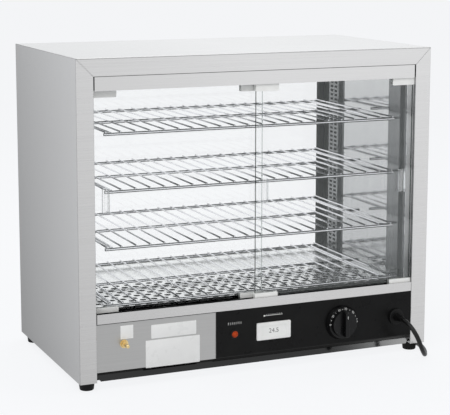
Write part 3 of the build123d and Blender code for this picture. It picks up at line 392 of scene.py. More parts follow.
@dataclass(frozen=True)
class ClearPane(Finish):
    """Clear sheet that mirrors a little, more at a glance, with a set tone on cut edges."""

    tint: str
    rim_tone: str
    rim: float = 0.6
    index: float = 1.45
    haze: float = 0.0

    def surface(self, nodes: Nodes) -> dict[str, object]:
        """Mirror coverage from the Fresnel effect, and a frosted cut edge round the sheet."""
        smears = nodes.pattern((14.0,) * 3, 3.0)
        flat = nodes.add("Math", POSITIVE, _0=nodes.facing("Y", "True Normal"))
        rim = nodes.add("MapRange", Value=flat, To_Min=self.rim, To_Max=self.haze)
        glance = nodes.add("Fresnel", IOR=self.index)
        rim_tone, tint = linear(self.rim_tone), linear(self.tint)
        return {
            "Base_Color": nodes.add("Mix", COLOURS, Factor=flat, A=rim_tone, B=tint),
            "Metallic": 1.0,
            "Roughness": nodes.add("MapRange", Value=smears, To_Min=0.02, To_Max=0.07, **MIDDLE),
            "Alpha": nodes.add("Math", {"use_clamp": True}, _0=glance, _1=rim),
        }


@dataclass(frozen=True)
class Lit(Toned):
    """Coloured lens with a faint glow of its own."""

    glow: float

    def surface(self, nodes: Nodes) -> dict[str, object]:
        """Swirled colour inside a glossy skin."""
        colour = self.mottled(nodes, nodes.pattern((300.0,) * 3, 2.0))
        return {
            "Base_Color": colour,
            "Emission_Color": colour,
            "Emission_Strength": self.glow,
            "Roughness": 0.3,
            "Specular_IOR_Level": 0.15,
            "Coat_Weight": 0.12,
        }


# Brushed stainless sheet of the case: satin grey, with its grain along the front
# Painted shade: darker towards the bottom and the left, darker sides lighter to the front and top
CASE_STEEL = BrushedSteel(
    "case_steel",
    "BBBAB9",
    "E8E7E6",
    by_height=0.5,
    by_width=0.3,
    side_dark="6A6A6A",
    side_light="CBCBCB",
)
# The same sheet on the fascia, painted darker for the shade of the rail, lighter to the right
FASCIA_STEEL = BrushedSteel("fascia_steel", "A8A8A7", "B9B8B7", roughness=0.34, by_width=0.4)
# The same sheet, folded into rails that catch more light towards the right
RAIL_STEEL = BrushedSteel("rail_steel", "BCBBBA", "D5D4D3", roughness=0.28, by_width=0.6)
# Mirror-polished stainless of the inner walls: it shows the racks; painted darker towards the
# bottom as shade
LINER_STEEL = BrushedSteel("liner_steel", "A6A7A8", "D4D5D5", Grain.ALONG_Z, 0.07, 0.6)
# Polished stainless of the posts, darker for what it mirrors
POST_STEEL = BrushedSteel("post_steel", "6C6D6E", "868788", Grain.ALONG_Z, 0.2)
# Stainless of the deck's front lip, painted dark grey for shade and dark reflections, with a
# rough gleam
LIP_SHADE_STEEL = BrushedSteel("lip_shade_steel", "3E3E3F", "8A8A8B", Grain.ALONG_Z, 0.16)
# Bright rolled stainless of the deck: painted nearly white for the light on it, soft reflections
DECK_STEEL = BrushedSteel("deck_steel", "F6F6F5", "FDFDFC", Grain.ALONG_X, 0.22)
# Polished stainless of the pan, whose lip has a painted dark reflection, nearly black on the left
LIP_STEEL = LipSteel("lip_steel", "C4C5C6", "383838", "6C6C6C")
# Sheet of the heater tray: painted brown-black for the shade under the deck, and dull
TRAY_STEEL = Bright("tray_steel", "2E2C2A", "45423F", 0.5, 60.0)
# Zinc-plated steel: soft grey, with slightly cloudy patches
PLATED_STEEL = Bright("plated_steel", "8C8E90", "B5B7B9", 0.3, 60.0)
# Chromed wire: a clear mirror, so that round wire shows a bright line
CHROME_WIRE = Bright("chrome_wire", "D2D3D4", "F2F3F3", 0.14, 220.0)
# Nickel alloy of the elements' sheaths, oxidised brown by the heat
ELEMENT_SHEATH = Bright("element_sheath", "4A4642", "6A655F", 0.4, 150.0)
# Turned brass: warm yellow, with sharp highlights
BRASS = Bright("brass", "8C6631", "C99C4E", 0.22, 240.0)
# Float glass of the right door: faint mirror, with painted shade as a dark line at its cut edge
DOOR_GLASS = ClearPane("door_glass", "F4FAF8", "3C4240", rim=0.8)
# Float glass of the left door, whose cut edge catches the light
REAR_DOOR_GLASS = ClearPane("rear_door_glass", "F4FAF8", "C2C7C5", rim=0.35)
# Float glass of the back: faint mirror, grey cut edge
BACK_GLASS = ClearPane("back_glass", "F4FAF8", "9CA3A0", rim=0.5)
# Cast acrylic of the pulls: clear, a little milky, with pale edges
PULL_ACRYLIC = ClearPane("pull_acrylic", "FFFFFF", "D8DBDC", rim=0.3, index=1.5, haze=0.12)
# Moulded nylon of the glides: white with a waxy shine
GLIDE_NYLON = Moulded("glide_nylon", "F2F2F0", "FCFCFA", 0.35)
# Moulded ABS of the meter's case: clean white, satin
WHITE_CASE = Moulded("white_case", "F4F4F3", "FCFCFB", 0.4)
# Moulded polyamide of the terminal block: warm off-white, satin
TERMINAL_PLASTIC = Moulded("terminal_plastic", "C9C7BF", "DEDCD4", 0.5)
# Screen-printed polycarbonate of the control panel: deep black, half gloss
PANEL_GLOSS = Moulded("panel_gloss", "0F0F0F", "151515", 0.3, 500.0, 0.01 * MM, 0.12)
# Moulded phenolic of the knob: black, with a soft shine
KNOB_PLASTIC = Moulded("knob_plastic", "070708", "0C0C0D", 0.28, specular=0.25)
# Dull black: painted shade in the tracks' channels, and the own colour of the lamp bezel and
# gland
TRACK_SHADE_AND_TRIM_BLACK = Moulded("track_shade_and_trim_black", "090909", "101010", 0.5, specular=0.2)
# Extruded silicone of the seal: dull charcoal
SEAL_RUBBER = Moulded("seal_rubber", "202020", "2B2B2B", 0.6, 700.0)
# Extruded rubber of the lead: black, slightly shiny, with a fine texture
LEAD_RUBBER = Moulded("lead_rubber", "080808", "101010", 0.4, 900.0, 0.06 * MM, 0.3)
# Moulded rubber of the feet: black and dull, coarser
FOOT_RUBBER = Moulded("foot_rubber", "080808", "101010", 0.6, 700.0, 0.08 * MM, 0.2)
# Polarising film of the display: pale, smooth and glossy
DISPLAY_GREY = Moulded("display_grey", "F6F7F5", "FCFCFB", 0.2, 300.0, 0.01 * MM)
# Pad-printed white ink: matt
PRINT_WHITE = Moulded("print_white", "E8E8E6", "F4F4F2", 0.5)
# Liquid-crystal figures: flat dark grey
PRINT_GREY = Moulded("print_grey", "5A5A5A", "6C6C6C", 0.5)
# Matt black of painted shade, in the gaps between sheets and in the posts' slots
GAP_SHADE = Moulded("gap_shade", "1A1A1A", "262626", 0.6, specular=0.2)
# Laminated vinyl of the plates: white, smooth, half gloss
PLATE_WHITE = Moulded("plate_white", "F2F2F1", "F6F6F5", 0.3, 200.0, 0.01 * MM)
# Moulded amber polycarbonate of the lamp: deep orange, with a glow
AMBER_LENS = Lit("amber_lens", "7A2403", "B84008", 0.1)

NODE_FINISHES: tuple[tuple[Finish, str], ...] = (
    (CASE_STEEL, "left_side_panel right_side_panel top_panel header_rail"),
    (LINER_STEEL, "left_liner right_liner top_liner"),
    (LIP_STEEL, "base_pan"),
    (FASCIA_STEEL, "fascia_panel rear_panel"),
    (RAIL_STEEL, "lower_rail rear_header rear_sill"),
    (POST_STEEL, "left_uprights right_uprights"),
    (PLATED_STEEL, "base_rails rear_screws deck_ledges element_brackets"),
    (PLATED_STEEL, "thermostat thermostat_shaft bulb_clips foot_screws"),
    (TRAY_STEEL, "heater_tray tray_supports"),
    (ELEMENT_SHEATH, "heater_elements"),
    (BRASS, "sensor_bulb earth_stud earth_nuts plug_pins"),
    (BACK_GLASS, "rear_glass"),
    (REAR_DOOR_GLASS, "left_door_glass"),
    (DOOR_GLASS, "right_door_glass"),
    (PULL_ACRYLIC, "left_door_pull right_door_pulls"),
    (GLIDE_NYLON, "left_door_glides right_door_glides"),
    (PANEL_GLOSS, "control_panel"),
    (TRACK_SHADE_AND_TRIM_BLACK, "lower_track upper_track lamp_bezel gland gland_nut"),
    (KNOB_PLASTIC, "knob"),
    (AMBER_LENS, "lamp_lens"),
    (WHITE_CASE, "meter_case"),
    (DISPLAY_GREY, "meter_display"),
    (TERMINAL_PLASTIC, "terminal_block"),
    (SEAL_RUBBER, "rear_glass_seal"),
    (LEAD_RUBBER, "strain_relief plug"),
    (FOOT_RUBBER, "feet"),
)


def deselect() -> None:
    """Leave edit mode and drop the selection."""
    if bpy.context.object and bpy.context.object.mode != "OBJECT":
        bpy.ops.object.mode_set(mode="OBJECT")
    bpy.ops.object.select_all(action="DESELECT")


@contextmanager
def editing(piece: bpy.types.Object) -> Iterator[None]:
    """Edit one piece's mesh, with all of it selected at first."""
    deselect()
    piece.select_set(True)
    bpy.context.view_layer.objects.active = piece
    bpy.ops.object.mode_set(mode="EDIT")
    bpy.ops.mesh.select_all(action="SELECT")
    yield
    bpy.ops.object.mode_set(mode="OBJECT")


def choose(piece: bpy.types.Object, mode: str, test: Callable[[object], bool]) -> None:
    """Select elements of a piece in edit mode by a test on each.

    Args:
        piece: Object in edit mode.
        mode: "VERT", "EDGE" or "FACE".
        test: Called with each vertex, edge or polygon; true selects it.
    """
    bpy.ops.mesh.select_mode(type=mode)
    bpy.ops.mesh.select_all(action="DESELECT")
    bpy.ops.object.mode_set(mode="OBJECT")
    mesh = piece.data
    elements = {"VERT": mesh.vertices, "EDGE": mesh.edges, "FACE": mesh.polygons}[mode]
    for element in elements:
        element.select = test(element)
    bpy.ops.object.mode_set(mode="EDIT")


def settle(
    piece: bpy.types.Object, name: str, finish: Finish, body: Body = Body.CABINET
) -> None:
    """Finish a piece: place in its mesh, outward faces, smooth shading, material and body.

    Args:
        piece: The modelled object.
        name: Its name.
        finish: Its finish.
        body: The body that it rides on.
    """
    deselect()
    piece.select_set(True)
    bpy.context.view_layer.objects.active = piece
    bpy.ops.object.transform_apply(location=True, rotation=True, scale=True)
    with editing(piece):
        bpy.ops.mesh.remove_doubles(threshold=0.005 * MM)
        bpy.ops.mesh.normals_make_consistent(inside=False)
    bpy.ops.object.shade_smooth_by_angle(angle=math.radians(35))
    piece.name = name
    piece.data.name = name
    piece.data.materials.clear()
    piece.data.materials.append(finish.material())
    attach(piece, body.value)
    LOG.info("%s: %d faces, %s", name, len(piece.data.polygons), finish.name)
    deselect()


def joined(pieces: list[bpy.types.Object]) -> bpy.types.Object:
    """Join pieces into the first of them."""
    deselect()
    for piece in pieces:
        piece.select_set(True)
    bpy.context.view_layer.objects.active = pieces[0]
    bpy.ops.object.join()
    return bpy.context.object


def copied(piece: bpy.types.Object, offset: Vector) -> bpy.types.Object:
    """A copy of a piece with its own mesh, moved by an offset."""
    twin = piece.copy()
    twin.data = piece.data.copy()
    twin.location = piece.location + offset
    bpy.context.scene.collection.objects.link(twin)
    return twin


def rod(start: Vector, end: Vector, radius: float, sides: int = 12) -> bpy.types.Object:
    """A round rod between two points, with its ends softened.

    Args:
        start: Centre of one end.
        end: Centre of the other end.
        radius: Radius in metres.
        sides: Number of sides.

    Returns:
        The rod.
    """
    deselect()
    along = end - start
    bpy.ops.mesh.primitive_cylinder_add(
        vertices=sides,
        radius=radius,
        depth=along.length,
        location=(start + end) / 2,
        rotation=along.to_track_quat("Z", "Y").to_euler(),
    )
    piece = bpy.context.object
    with editing(piece):
        choose(piece, "FACE", lambda face: len(face.vertices) > 4)
        bpy.ops.mesh.bevel(offset=radius * 0.35, segments=2, affect="EDGES")
    return piece


def block(low: Vector, high: Vector) -> bpy.types.Object:
    """A box between two corners, with its size in its mesh."""
    deselect()
    bpy.ops.mesh.primitive_cube_add(size=1, location=(low + high) / 2, scale=high - low)
    bpy.ops.object.transform_apply(location=False, rotation=False, scale=True)
    return bpy.context.object


def repeated(piece: bpy.types.Object, count: int, offset: tuple[float, float, float]) -> None:
    """Repeat a piece's mesh by a constant offset.

    Args:
        piece: The piece, which becomes the active object.
        count: How many there are in all.
        offset: From each to the next.
    """
    bpy.context.view_layer.objects.active = piece
    row = piece.modifiers.new("row", "ARRAY")
    row.count = count
    row.use_relative_offset = False
    row.use_constant_offset = True
    row.constant_offset_displace = offset
    bpy.ops.object.modifier_apply(modifier="row")


def plate(
    centre: Vector, width: float, height: float, thick: float, corner: float
) -> bpy.types.Object:
    """A thin upright plate that faces the front, with rounded corners.

    Args:
        centre: Middle of its back face.
        width: Size along X.
        height: Size along Z.
        thick: Size along Y.
        corner: Radius of the corners.

    Returns:
        The plate.
    """
    low = centre - Vector((width / 2, thick, height / 2))
    piece = block(low, low + Vector((width, thick, height)))

    def upright_corner(edge: bpy.types.MeshEdge) -> bool:
        """Whether an edge runs from back to front."""
        a, b = (piece.data.vertices[i].co for i in edge.vertices)
        return abs(a.y - b.y) > thick / 2

    with editing(piece):
        choose(piece, "EDGE", upright_corner)
        bpy.ops.mesh.bevel(offset=corner, segments=5, affect="EDGES")
        choose(piece, "FACE", lambda face: face.normal.y < -0.9)
        bpy.ops.mesh.bevel(offset=min(thick, corner) * 0.3, segments=2, affect="EDGES")
    return piece


def lettered(
    text: str, size: float, place: Vector, turn: float, thick: float
) -> bpy.types.Object:
    """Numbers as a thin raised print on a face that looks to the front.

    Args:
        text: What is printed.
        size: Height of the type in metres.
        place: Middle of the print, on the face.
        turn: Clockwise turn in radians, seen from the front.
        thick: Height of the print above the face.

    Returns:
        The print as a mesh.
    """
    deselect()
    bpy.ops.object.text_add(location=place, rotation=(math.pi / 2, turn, 0))
    print_text = bpy.context.object
    print_text.data.body = text
    print_text.data.size = size
    print_text.data.extrude = thick
    print_text.data.resolution_u = 3
    print_text.data.align_x = "CENTER"
    print_text.data.align_y = "CENTER"
    bpy.ops.object.convert(target="MESH")
    return bpy.context.object


@dataclass
class Deck:
    """The floor of the chamber, pierced over the heaters in its front half."""

    pitch_x: float = 20 * MM
    pitch_y: float = 15.25 * MM
    hole: float = 11.4 * MM
    columns: int = 27
    row_pairs: int = 5
    border: float = 8 * MM
    thick: float = 1 * MM
    lip: float = 4 * MM
    lip_corner: float = 0.4 * MM
    cut: float = 0.34
    within: float = 0.4

    def tile(self, middle: Vector) -> bpy.types.Object:
        """One tile of sheet with a round hole, divided so that staggered rows meet.

        Args:
            middle: Centre of the hole.

        Returns:
            The tile.
        """
        deselect()
        cells = {"x_subdivisions": 6, "y_subdivisions": 6}
        bpy.ops.mesh.primitive_grid_add(size=1, location=middle, **cells)
        piece = bpy.context.object
        piece.scale = (self.pitch_x, self.pitch_y, 1)
        bpy.ops.object.transform_apply(location=False, rotation=False, scale=True)
        near_x, near_y = self.pitch_x * self.cut, self.pitch_y * self.cut

        def inside(face: bpy.types.MeshPolygon) -> bool:
            """Whether a face lies where the hole goes."""
            return abs(face.center.x) < near_x and abs(face.center.y) < near_y

        with editing(piece):
            choose(piece, "FACE", inside)
            bpy.ops.mesh.delete(type="FACE")
        for vertex in piece.data.vertices:
            reach = Vector((vertex.co.x / self.pitch_x, vertex.co.y / self.pitch_y))
            if max(abs(reach.x), abs(reach.y)) < self.within:
                angle = math.atan2(reach.y, reach.x)
                vertex.co.x = self.hole / 2 * math.cos(angle)
                vertex.co.y = self.hole / 2 * math.sin(angle)
        return piece

    def spread_edges(self, piece: bpy.types.Object, axis: int, old: float, new: float) -> None:
        """Carry the sheet on from its edge at one place to another, by extrusion.

        Args:
            piece: The sheet.
            axis: 0 for X, 1 for Y.
            old: Where the edge is.
            new: Where it goes to.
        """
        vertices = piece.data.vertices

        def on_edge(edge: bpy.types.MeshEdge) -> bool:
            """Whether both ends of an edge lie on the old border."""
            return all(abs(vertices[i].co[axis] - old) < 1e-5 for i in edge.vertices)

        shift = [0.0, 0.0, 0.0]
        shift[axis] = new - old
        with editing(piece):
            choose(piece, "EDGE", on_edge)
            bpy.ops.mesh.extrude_edges_move(TRANSFORM_OT_translate={"value": shift})

    def build(self) -> None:
        """Repeat the tile in two staggered rows, repeat those, and fill out the borders."""
        low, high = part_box("deck")
        first_x = -(self.columns - 1) / 2 * self.pitch_x
        first_y = low.y + self.border + self.pitch_y / 2
        rows = []
        for row, side in enumerate((-1, 1)):
            x = first_x + side * self.pitch_x / 4
            tile = self.tile(Vector((x, first_y + row * self.pitch_y, high.z)))
            repeated(tile, self.columns, (self.pitch_x, 0, 0))
            bpy.ops.object.transform_apply(location=True, rotation=False, scale=False)
            edge = -side * (self.columns / 2 * self.pitch_x - self.pitch_x / 4)
            self.spread_edges(tile, 0, edge, edge - side * self.pitch_x / 2)
            rows.append(tile)
        sheet = joined(rows)
        repeated(sheet, self.row_pairs, (0, 2 * self.pitch_y, 0))
        with editing(sheet):
            bpy.ops.mesh.remove_doubles(threshold=0.01 * MM)
        half = self.columns / 2 * self.pitch_x + self.pitch_x / 4
        for side, border in ((-1, low.x), (1, high.x)):
            self.spread_edges(sheet, 0, side * half, border)
        front = first_y - self.pitch_y / 2
        back = front + 2 * self.row_pairs * self.pitch_y
        self.spread_edges(sheet, 1, front, low.y)
        self.spread_edges(sheet, 1, back, high.y)
        bpy.context.view_layer.objects.active = sheet
        solid = sheet.modifiers.new("sheet", "SOLIDIFY")
        solid.thickness = self.thick
        solid.offset = -1
        bpy.ops.object.modifier_apply(modifier="sheet")
        settle(sheet, "pierced_deck", DECK_STEEL)
        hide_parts("deck")
        spot = Vector((0, low.y + self.thick, high.z + self.lip / 2))
        lip = plate(spot, high.x - low.x, self.lip, self.thick, self.lip_corner)
        settle(lip, "deck_front_lip", LIP_SHADE_STEEL)


@dataclass
class Racks:
    """The four wire shelves, welded from round wire."""

    frame_wire: float = 5 * MM
    cross_wire: float = 3 * MM
    pitch: float = 25 * MM
    corner: float = 15 * MM
    sink: float = 0.4 * MM
    levels: int = 4

    def ring(self, low: Vector, high: Vector) -> bpy.types.Object:
        """The frame: a circle carried along each side and round each corner.

        Args:
            low: Front left corner of the wire's centre line.
            high: Back right corner of it.

        Returns:
            The closed ring.
        """
        deselect()
        start = Vector((low.x + self.corner, low.y, low.z))
        bpy.ops.mesh.primitive_circle_add(
            vertices=12, radius=self.frame_wire / 2, location=start, rotation=(0, math.pi / 2, 0)
        )
        piece = bpy.context.object
        bpy.ops.object.transform_apply(location=True, rotation=True, scale=True)
        left, right = low.x + self.corner, high.x - self.corner
        front, back = low.y + self.corner, high.y - self.corner
        sides = (
            ((right - left, 0, 0), (right, front)),
            ((0, back - front, 0), (right, back)),
            ((left - right, 0, 0), (left, back)),
            ((0, front - back, 0), (left, front)),
        )
        turn = {"steps": 6, "angle": math.pi / 2, "axis": (0, 0, 1)}
        with editing(piece):
            for step, (x, y) in sides:
                bpy.ops.mesh.extrude_edges_move(TRANSFORM_OT_translate={"value": step})
                bpy.ops.mesh.spin(center=(x, y, low.z), **turn)
        return piece

    def rack(self, low: Vector, high: Vector) -> bpy.types.Object:
        """One shelf: ring, middle bar and cross wires.

        Args:
            low: Lowest corner of the CAD shelf.
            high: Highest corner of it.

        Returns:
            The shelf.
        """
        half = self.frame_wire / 2
        level = low.z + half
        near = Vector((low.x + half, low.y + half, level))
        far = Vector((high.x - half, high.y - half, level))
        parts = [self.ring(near, far)]
        middle = (near.y + far.y) / 2
        ends = [Vector((x, middle, level)) for x in (near.x, far.x)]
        parts.append(rod(*ends, half))
        rest = level + half + self.cross_wire / 2 - self.sink
        count = int((far.x - near.x - self.frame_wire) / self.pitch)
        first = -(count - 1) / 2 * self.pitch
        ends = [Vector((first, y, rest)) for y in (low.y, high.y)]
        wire = rod(*ends, self.cross_wire / 2, 10)
        parts.append(wire)
        parts += [copied(wire, Vector((step * self.pitch, 0, 0))) for step in range(1, count)]
        return joined(parts)

    def build(self) -> None:
        """Model one rack and copy it to each level."""
        low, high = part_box("shelf_1")
        first = self.rack(low, high)
        twins = {1: first}
        for number in range(2, self.levels + 1):
            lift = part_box(f"shelf_{number}")[0].z - low.z
            twins[number] = copied(first, Vector((0, 0, lift)))
        for number, twin in twins.items():
            settle(twin, f"rack_{number}", CHROME_WIRE)
            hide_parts(f"shelf_{number}")


@dataclass
class Dial:
    """Printed scale on the knob and its pointer line."""

    numbers: tuple[tuple[str, float], ...] = (
        ("0", 270.0),
        ("30", 305.0),
        ("50", 340.0),
        ("70", 8.0),
        ("90", 45.0),
        ("110", 83.0),
    )
    dots: tuple[float, ...] = (287.5, 322.5, 354.0, 26.5, 64.0, 150.0)
    radius: float = 25.2 * MM
    text_height: float = 5.2 * MM
    dot: float = 0.6 * MM
    thick: float = 0.05 * MM
    skirt: float = 8.5 * MM
    line: tuple[float, float] = (0.8 * MM, 5.25 * MM)
    line_rise: float = 13.5 * MM

    def spot(self, bearing: float, radius: float, y: float) -> Vector:
        """Place on the dial at a bearing, clockwise from the top as seen from the front.

        Args:
            bearing: Degrees.
            radius: Distance from the knob's axis.
            y: Depth.

        Returns:
            The place.
        """
        low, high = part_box("knob")
        middle = (low + high) / 2
        angle = math.radians(bearing)
        across, up = radius * math.sin(angle), radius * math.cos(angle)
        return Vector((middle.x + across, y, middle.z + up))

    def build(self) -> None:
        """Print numbers and dots on the skirt, and a line on the grip."""
        low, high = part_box("knob")
        face = high.y - self.skirt
        prints = []
        for text, bearing in self.numbers:
            place = self.spot(bearing, self.radius, face)
            turn = math.radians(bearing)
            prints.append(lettered(text, self.text_height, place, turn, self.thick))
        for bearing in self.dots:
            place = self.spot(bearing, self.radius, face)
            out = Vector((0, self.thick, 0))
            prints.append(rod(place + out, place - out, self.dot, 10))
        settle(joined(prints), "dial_print", PRINT_WHITE, Body.KNOB)
        tip = self.spot(0.0, self.line_rise, low.y)
        line = plate(tip, *self.line, 2 * self.thick, self.line[0] / 4)
        settle(line, "grip_line", PRINT_WHITE, Body.KNOB)


@dataclass
class Plates:
    """Bare plates on the fascia, the display's figures and the marks over the controls."""

    earth_plate: tuple[float, float, float, float] = (81.0, 79.0, 22.0, 22.5)
    name_plate: tuple[float, float, float, float] = (162.8, 74.5, 79.5, 23.0)
    label_plate: tuple[float, float, float, float] = (161.0, 37.5, 95.5, 46.0)
    thick: float = 0.4 * MM
    stroke: float = 0.3 * MM
    wave_pitch: float = 3.8 * MM
    wave_swing: float = 0.45 * MM
    wave_rise: float = 1.4 * MM
    heat_above: float = 13 * MM
    stem: float = 34 * MM
    bulb: float = 1.5 * MM
    tick_pitch: float = 4 * MM
    tick: tuple[float, float] = (0.9 * MM, 2.7 * MM)
    stem_above: float = 11.5 * MM
    figures: str = "24.5"
    figure_height: float = 11 * MM
    ink: float = 0.05 * MM

    def on_fascia(self, size: tuple[float, float, float, float], face: float) -> bpy.types.Object:
        """A plate given by its centre on the case and its size, in millimetres.

        Args:
            size: Centre from the case's left side, centre from its underside, width, height.
            face: Depth of the face that it is stuck to.

        Returns:
            The plate.
        """
        x, z, width, height = (value * MM for value in size)
        centre = Vector((CASE_LEFT + x, face, CASE_BOTTOM + z))
        return plate(centre, width, height, self.thick, 1 * MM)

    def waves(self, x: float, z: float, face: float) -> bpy.types.Object:
        """A row of rising wavy lines, as a sign for heat.

        Args:
            x: Middle of the sign.
            z: Height of the sign's middle.
            face: Depth of the panel's face.

        Returns:
            The sign.
        """
        strokes = []
        for column in range(-3, 4):
            for step, side in enumerate((1, -1, 1)):
                swing = side * self.wave_swing
                middle = x + column * self.wave_pitch
                low = Vector((middle - swing, face, z + (step - 1.5) * self.wave_rise))
                high = low + Vector((2 * swing, 0, self.wave_rise))
                strokes.append(rod(low, high, self.stroke, 8))
        return joined(strokes)

    def thermometer(self, x: float, z: float, face: float) -> bpy.types.Object:
        """A thermometer on its side, with a scale over it.

        Args:
            x: Middle of the sign.
            z: Height of the thermometer's axis.
            face: Depth of the panel's face.

        Returns:
            The sign.
        """
        left = Vector((x - self.stem / 2, face, z))
        out = Vector((0, 2 * self.ink, 0))
        parts = [rod(left, left + Vector((self.stem, 0, 0)), 0.4 * MM, 8)]
        parts.append(rod(left + out, left - out, self.bulb, 16))
        for number in range(1, 9):
            across = number * self.tick_pitch
            ends = [left + Vector((across, 0, up)) for up in self.tick]
            parts.append(rod(*ends, self.stroke, 8))
        return joined(parts)

    def build(self) -> None:
        """Place every plate and print."""
        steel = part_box("fascia_panel")[0].y
        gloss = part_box("control_panel")[0].y
        plates = {
            "earth_plate": self.earth_plate,
            "bare_name_plate": self.name_plate,
            "bare_label": self.label_plate,
        }
        for name, size in plates.items():
            piece = self.on_fascia(size, steel)
            settle(piece, name, PLATE_WHITE)
        low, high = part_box("lamp_lens")
        sign = self.waves((low.x + high.x) / 2, high.z + self.heat_above, gloss)
        settle(sign, "heat_sign", PRINT_WHITE)
        low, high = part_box("meter_case")
        sign = self.thermometer((low.x + high.x) / 2, high.z + self.stem_above, gloss)
        settle(sign, "temperature_sign", PRINT_WHITE)
        low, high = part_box("meter_display")
        middle = (low + high) / 2
        spot = Vector((middle.x, low.y, middle.z))
        figures = lettered(self.figures, self.figure_height, spot, 0.0, self.ink)
        settle(figures, "display_figures", PRINT_GREY)


@dataclass
class GapShades:
    """Painted shade: dark strips in the gaps between the sheets of the front."""

    gap: float = 0.7 * MM
    proud: float = 0.1 * MM

    def line(self, low: Vector, high: Vector, name: str) -> None:
        """A strip of painted shade that fills the box between two corners."""
        piece = block(low, high)
        with editing(piece):
            bpy.ops.mesh.bevel(offset=self.proud * 0.4, segments=2, affect="EDGES")
        settle(piece, name, GAP_SHADE)

    def build(self) -> None:
        """Strips of painted shade over the header, round the fascia and beside the lower rail."""
        low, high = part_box("header_rail")
        top = Vector((low.x, low.y - self.proud, high.z - self.gap))
        self.line(top, Vector((high.x, low.y + self.proud, high.z)), "header_shade")
        rail_low, rail_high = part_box("lower_rail")
        low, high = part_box("fascia_panel")
        under = Vector((low.x, low.y - self.proud, rail_low.z - 2 * self.gap))
        self.line(under, Vector((high.x, low.y + self.proud, rail_low.z)), "rail_shade")
        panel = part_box("control_panel")[0]
        foot = Vector((panel.x, panel.y - self.proud, low.z))
        self.line(foot, Vector((high.x, low.y + self.proud, low.z + 2 * self.gap)), "foot_shade")
        beside = Vector((low.x, rail_low.y - self.proud, rail_low.z))
        end = Vector((low.x + 2 * self.gap, rail_low.y + self.proud, rail_high.z))
        self.line(beside, end, "left_shade")


@dataclass
class PostSlots:
    """Columns of punched slots in the rear shelf posts, drawn as dark marks of painted shade."""

    web: float = 6 * MM
    width: float = 10 * MM
    height: float = 4 * MM
    pitch: float = 8 * MM
    middle: float = 30 * MM
    apart: float = 16 * MM
    proud: float = 0.1 * MM

    def build(self) -> None:
        """Mark each rear post with two columns of slots on the face that looks inwards."""
        for side, name in ((-1, "left_uprights"), (1, "right_uprights")):
            low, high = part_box(name)
            wall = low.x if side < 0 else high.x
            face = wall - side * self.web
            slots = []
            for shift in (-self.apart / 2, self.apart / 2):
                spot = Vector((face, high.y - self.middle + shift, low.z + self.pitch))
                half = Vector((self.proud, self.width / 2, self.height / 2))
                first = block(spot - half, spot + half)
                slots.append(first)
                steps = range(1, int((high.z - low.z) / self.pitch) - 1)
                slots += [copied(first, Vector((0, 0, step * self.pitch))) for step in steps]
            settle(joined(slots), f"{name}_slots", GAP_SHADE)


@dataclass
class Lead:
    """The mains lead: down from the gland, past the foot, under the case and into a coil."""

    diameter: float = 8 * MM
    rise: float = 4.2 * MM
    coil_x: float = 185 * MM
    coil_behind: float = 30 * MM
    coil_radius: float = 48 * MM
    pitch: float = 10 * MM
    turns_in: int = 3
    turns_out: int = 4
    steps: int = 10

    def route(self) -> list[Vector]:
        """Points from the strain relief to the coil, as in the part's source."""
        z = self.rise / MM
        exit_x, exit_z = 261, 68
        exit_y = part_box("strain_relief")[0].y / MM
        coil_y = (CASE_BACK + self.coil_behind) / MM
        rise = [(exit_x, exit_y, exit_z), (261, -196, 68), (264.5, -212, 59.5)]
        fall = [(270.7, -221.3, 44.6), (278.5, -221.3, 26), (288.4, -214.1, 12)]
        along = [(299.1, -201.1), (314, -175), (323, -148), (325, -120), (318, -85), (300, -30)]
        under = [(287, 40), (285, 140), (274.7, 168.2), (240.8, 202.1)]
        entry = [(self.coil_x / MM + 19.8, coil_y)]
        points = rise + fall + [(x, y, z) for x, y in along + under + entry]
        return [Vector(point) * MM for point in points]

    def coil(self) -> list[Vector]:
        """The coil's turns: inwards on the floor, then outwards on top of them."""
        middle_y = CASE_BACK + self.coil_behind + self.coil_radius
        centre = Vector((self.coil_x, middle_y, self.rise))
        radii = [self.coil_radius]
        levels = [0.0]
        for half in range(self.turns_in + self.turns_out + 1):
            change = -1 if half < self.turns_in else 0 if half == self.turns_in else 1
            radii.append(radii[-1] + change * self.pitch / 2)
            levels.append(0.0 if half < self.turns_in else self.pitch)
        points = []
        outward = 1 / math.cos(math.pi / (2 * self.steps))
        for half, (near, far) in enumerate(zip(radii, radii[1:])):
            for step in range(self.steps):
                share = (step + 0.5) / self.steps
                angle = -math.pi / 2 - math.pi * (half + share)
                radius = (near + (far - near) * share) * outward
                ease = share * share * (3 - 2 * share)
                lift = levels[half] + (levels[half + 1] - levels[half]) * ease
                across, along = radius * math.cos(angle), radius * math.sin(angle)
                points.append(centre + Vector((across, along, lift)))
        last = Vector((centre.x, centre.y - radii[-1], centre.z + self.pitch))
        points += [last, Vector((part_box("plug")[1].x, last.y, last.z))]
        return points

    def build(self) -> None:
        """Lay the lead as one smooth curve."""
        deselect()
        points = self.route() + self.coil()
        line = bpy.data.curves.new("mains_lead", "CURVE")
        line.dimensions = "3D"
        spline = line.splines.new("NURBS")
        spline.points.add(len(points) - 1)
        for target, point in zip(spline.points, points):
            target.co = (*point, 1.0)
        spline.order_u = 3
        spline.use_endpoint_u = True
        line.resolution_u = 6
        line.bevel_depth = self.diameter / 2
        line.bevel_resolution = 5
        lead = bpy.data.objects.new("mains_lead", line)
        bpy.context.scene.collection.objects.link(lead)
        line.materials.append(LEAD_RUBBER.material())
        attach(lead, Body.CABINET.value)
        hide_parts("cord", "cord_coil")


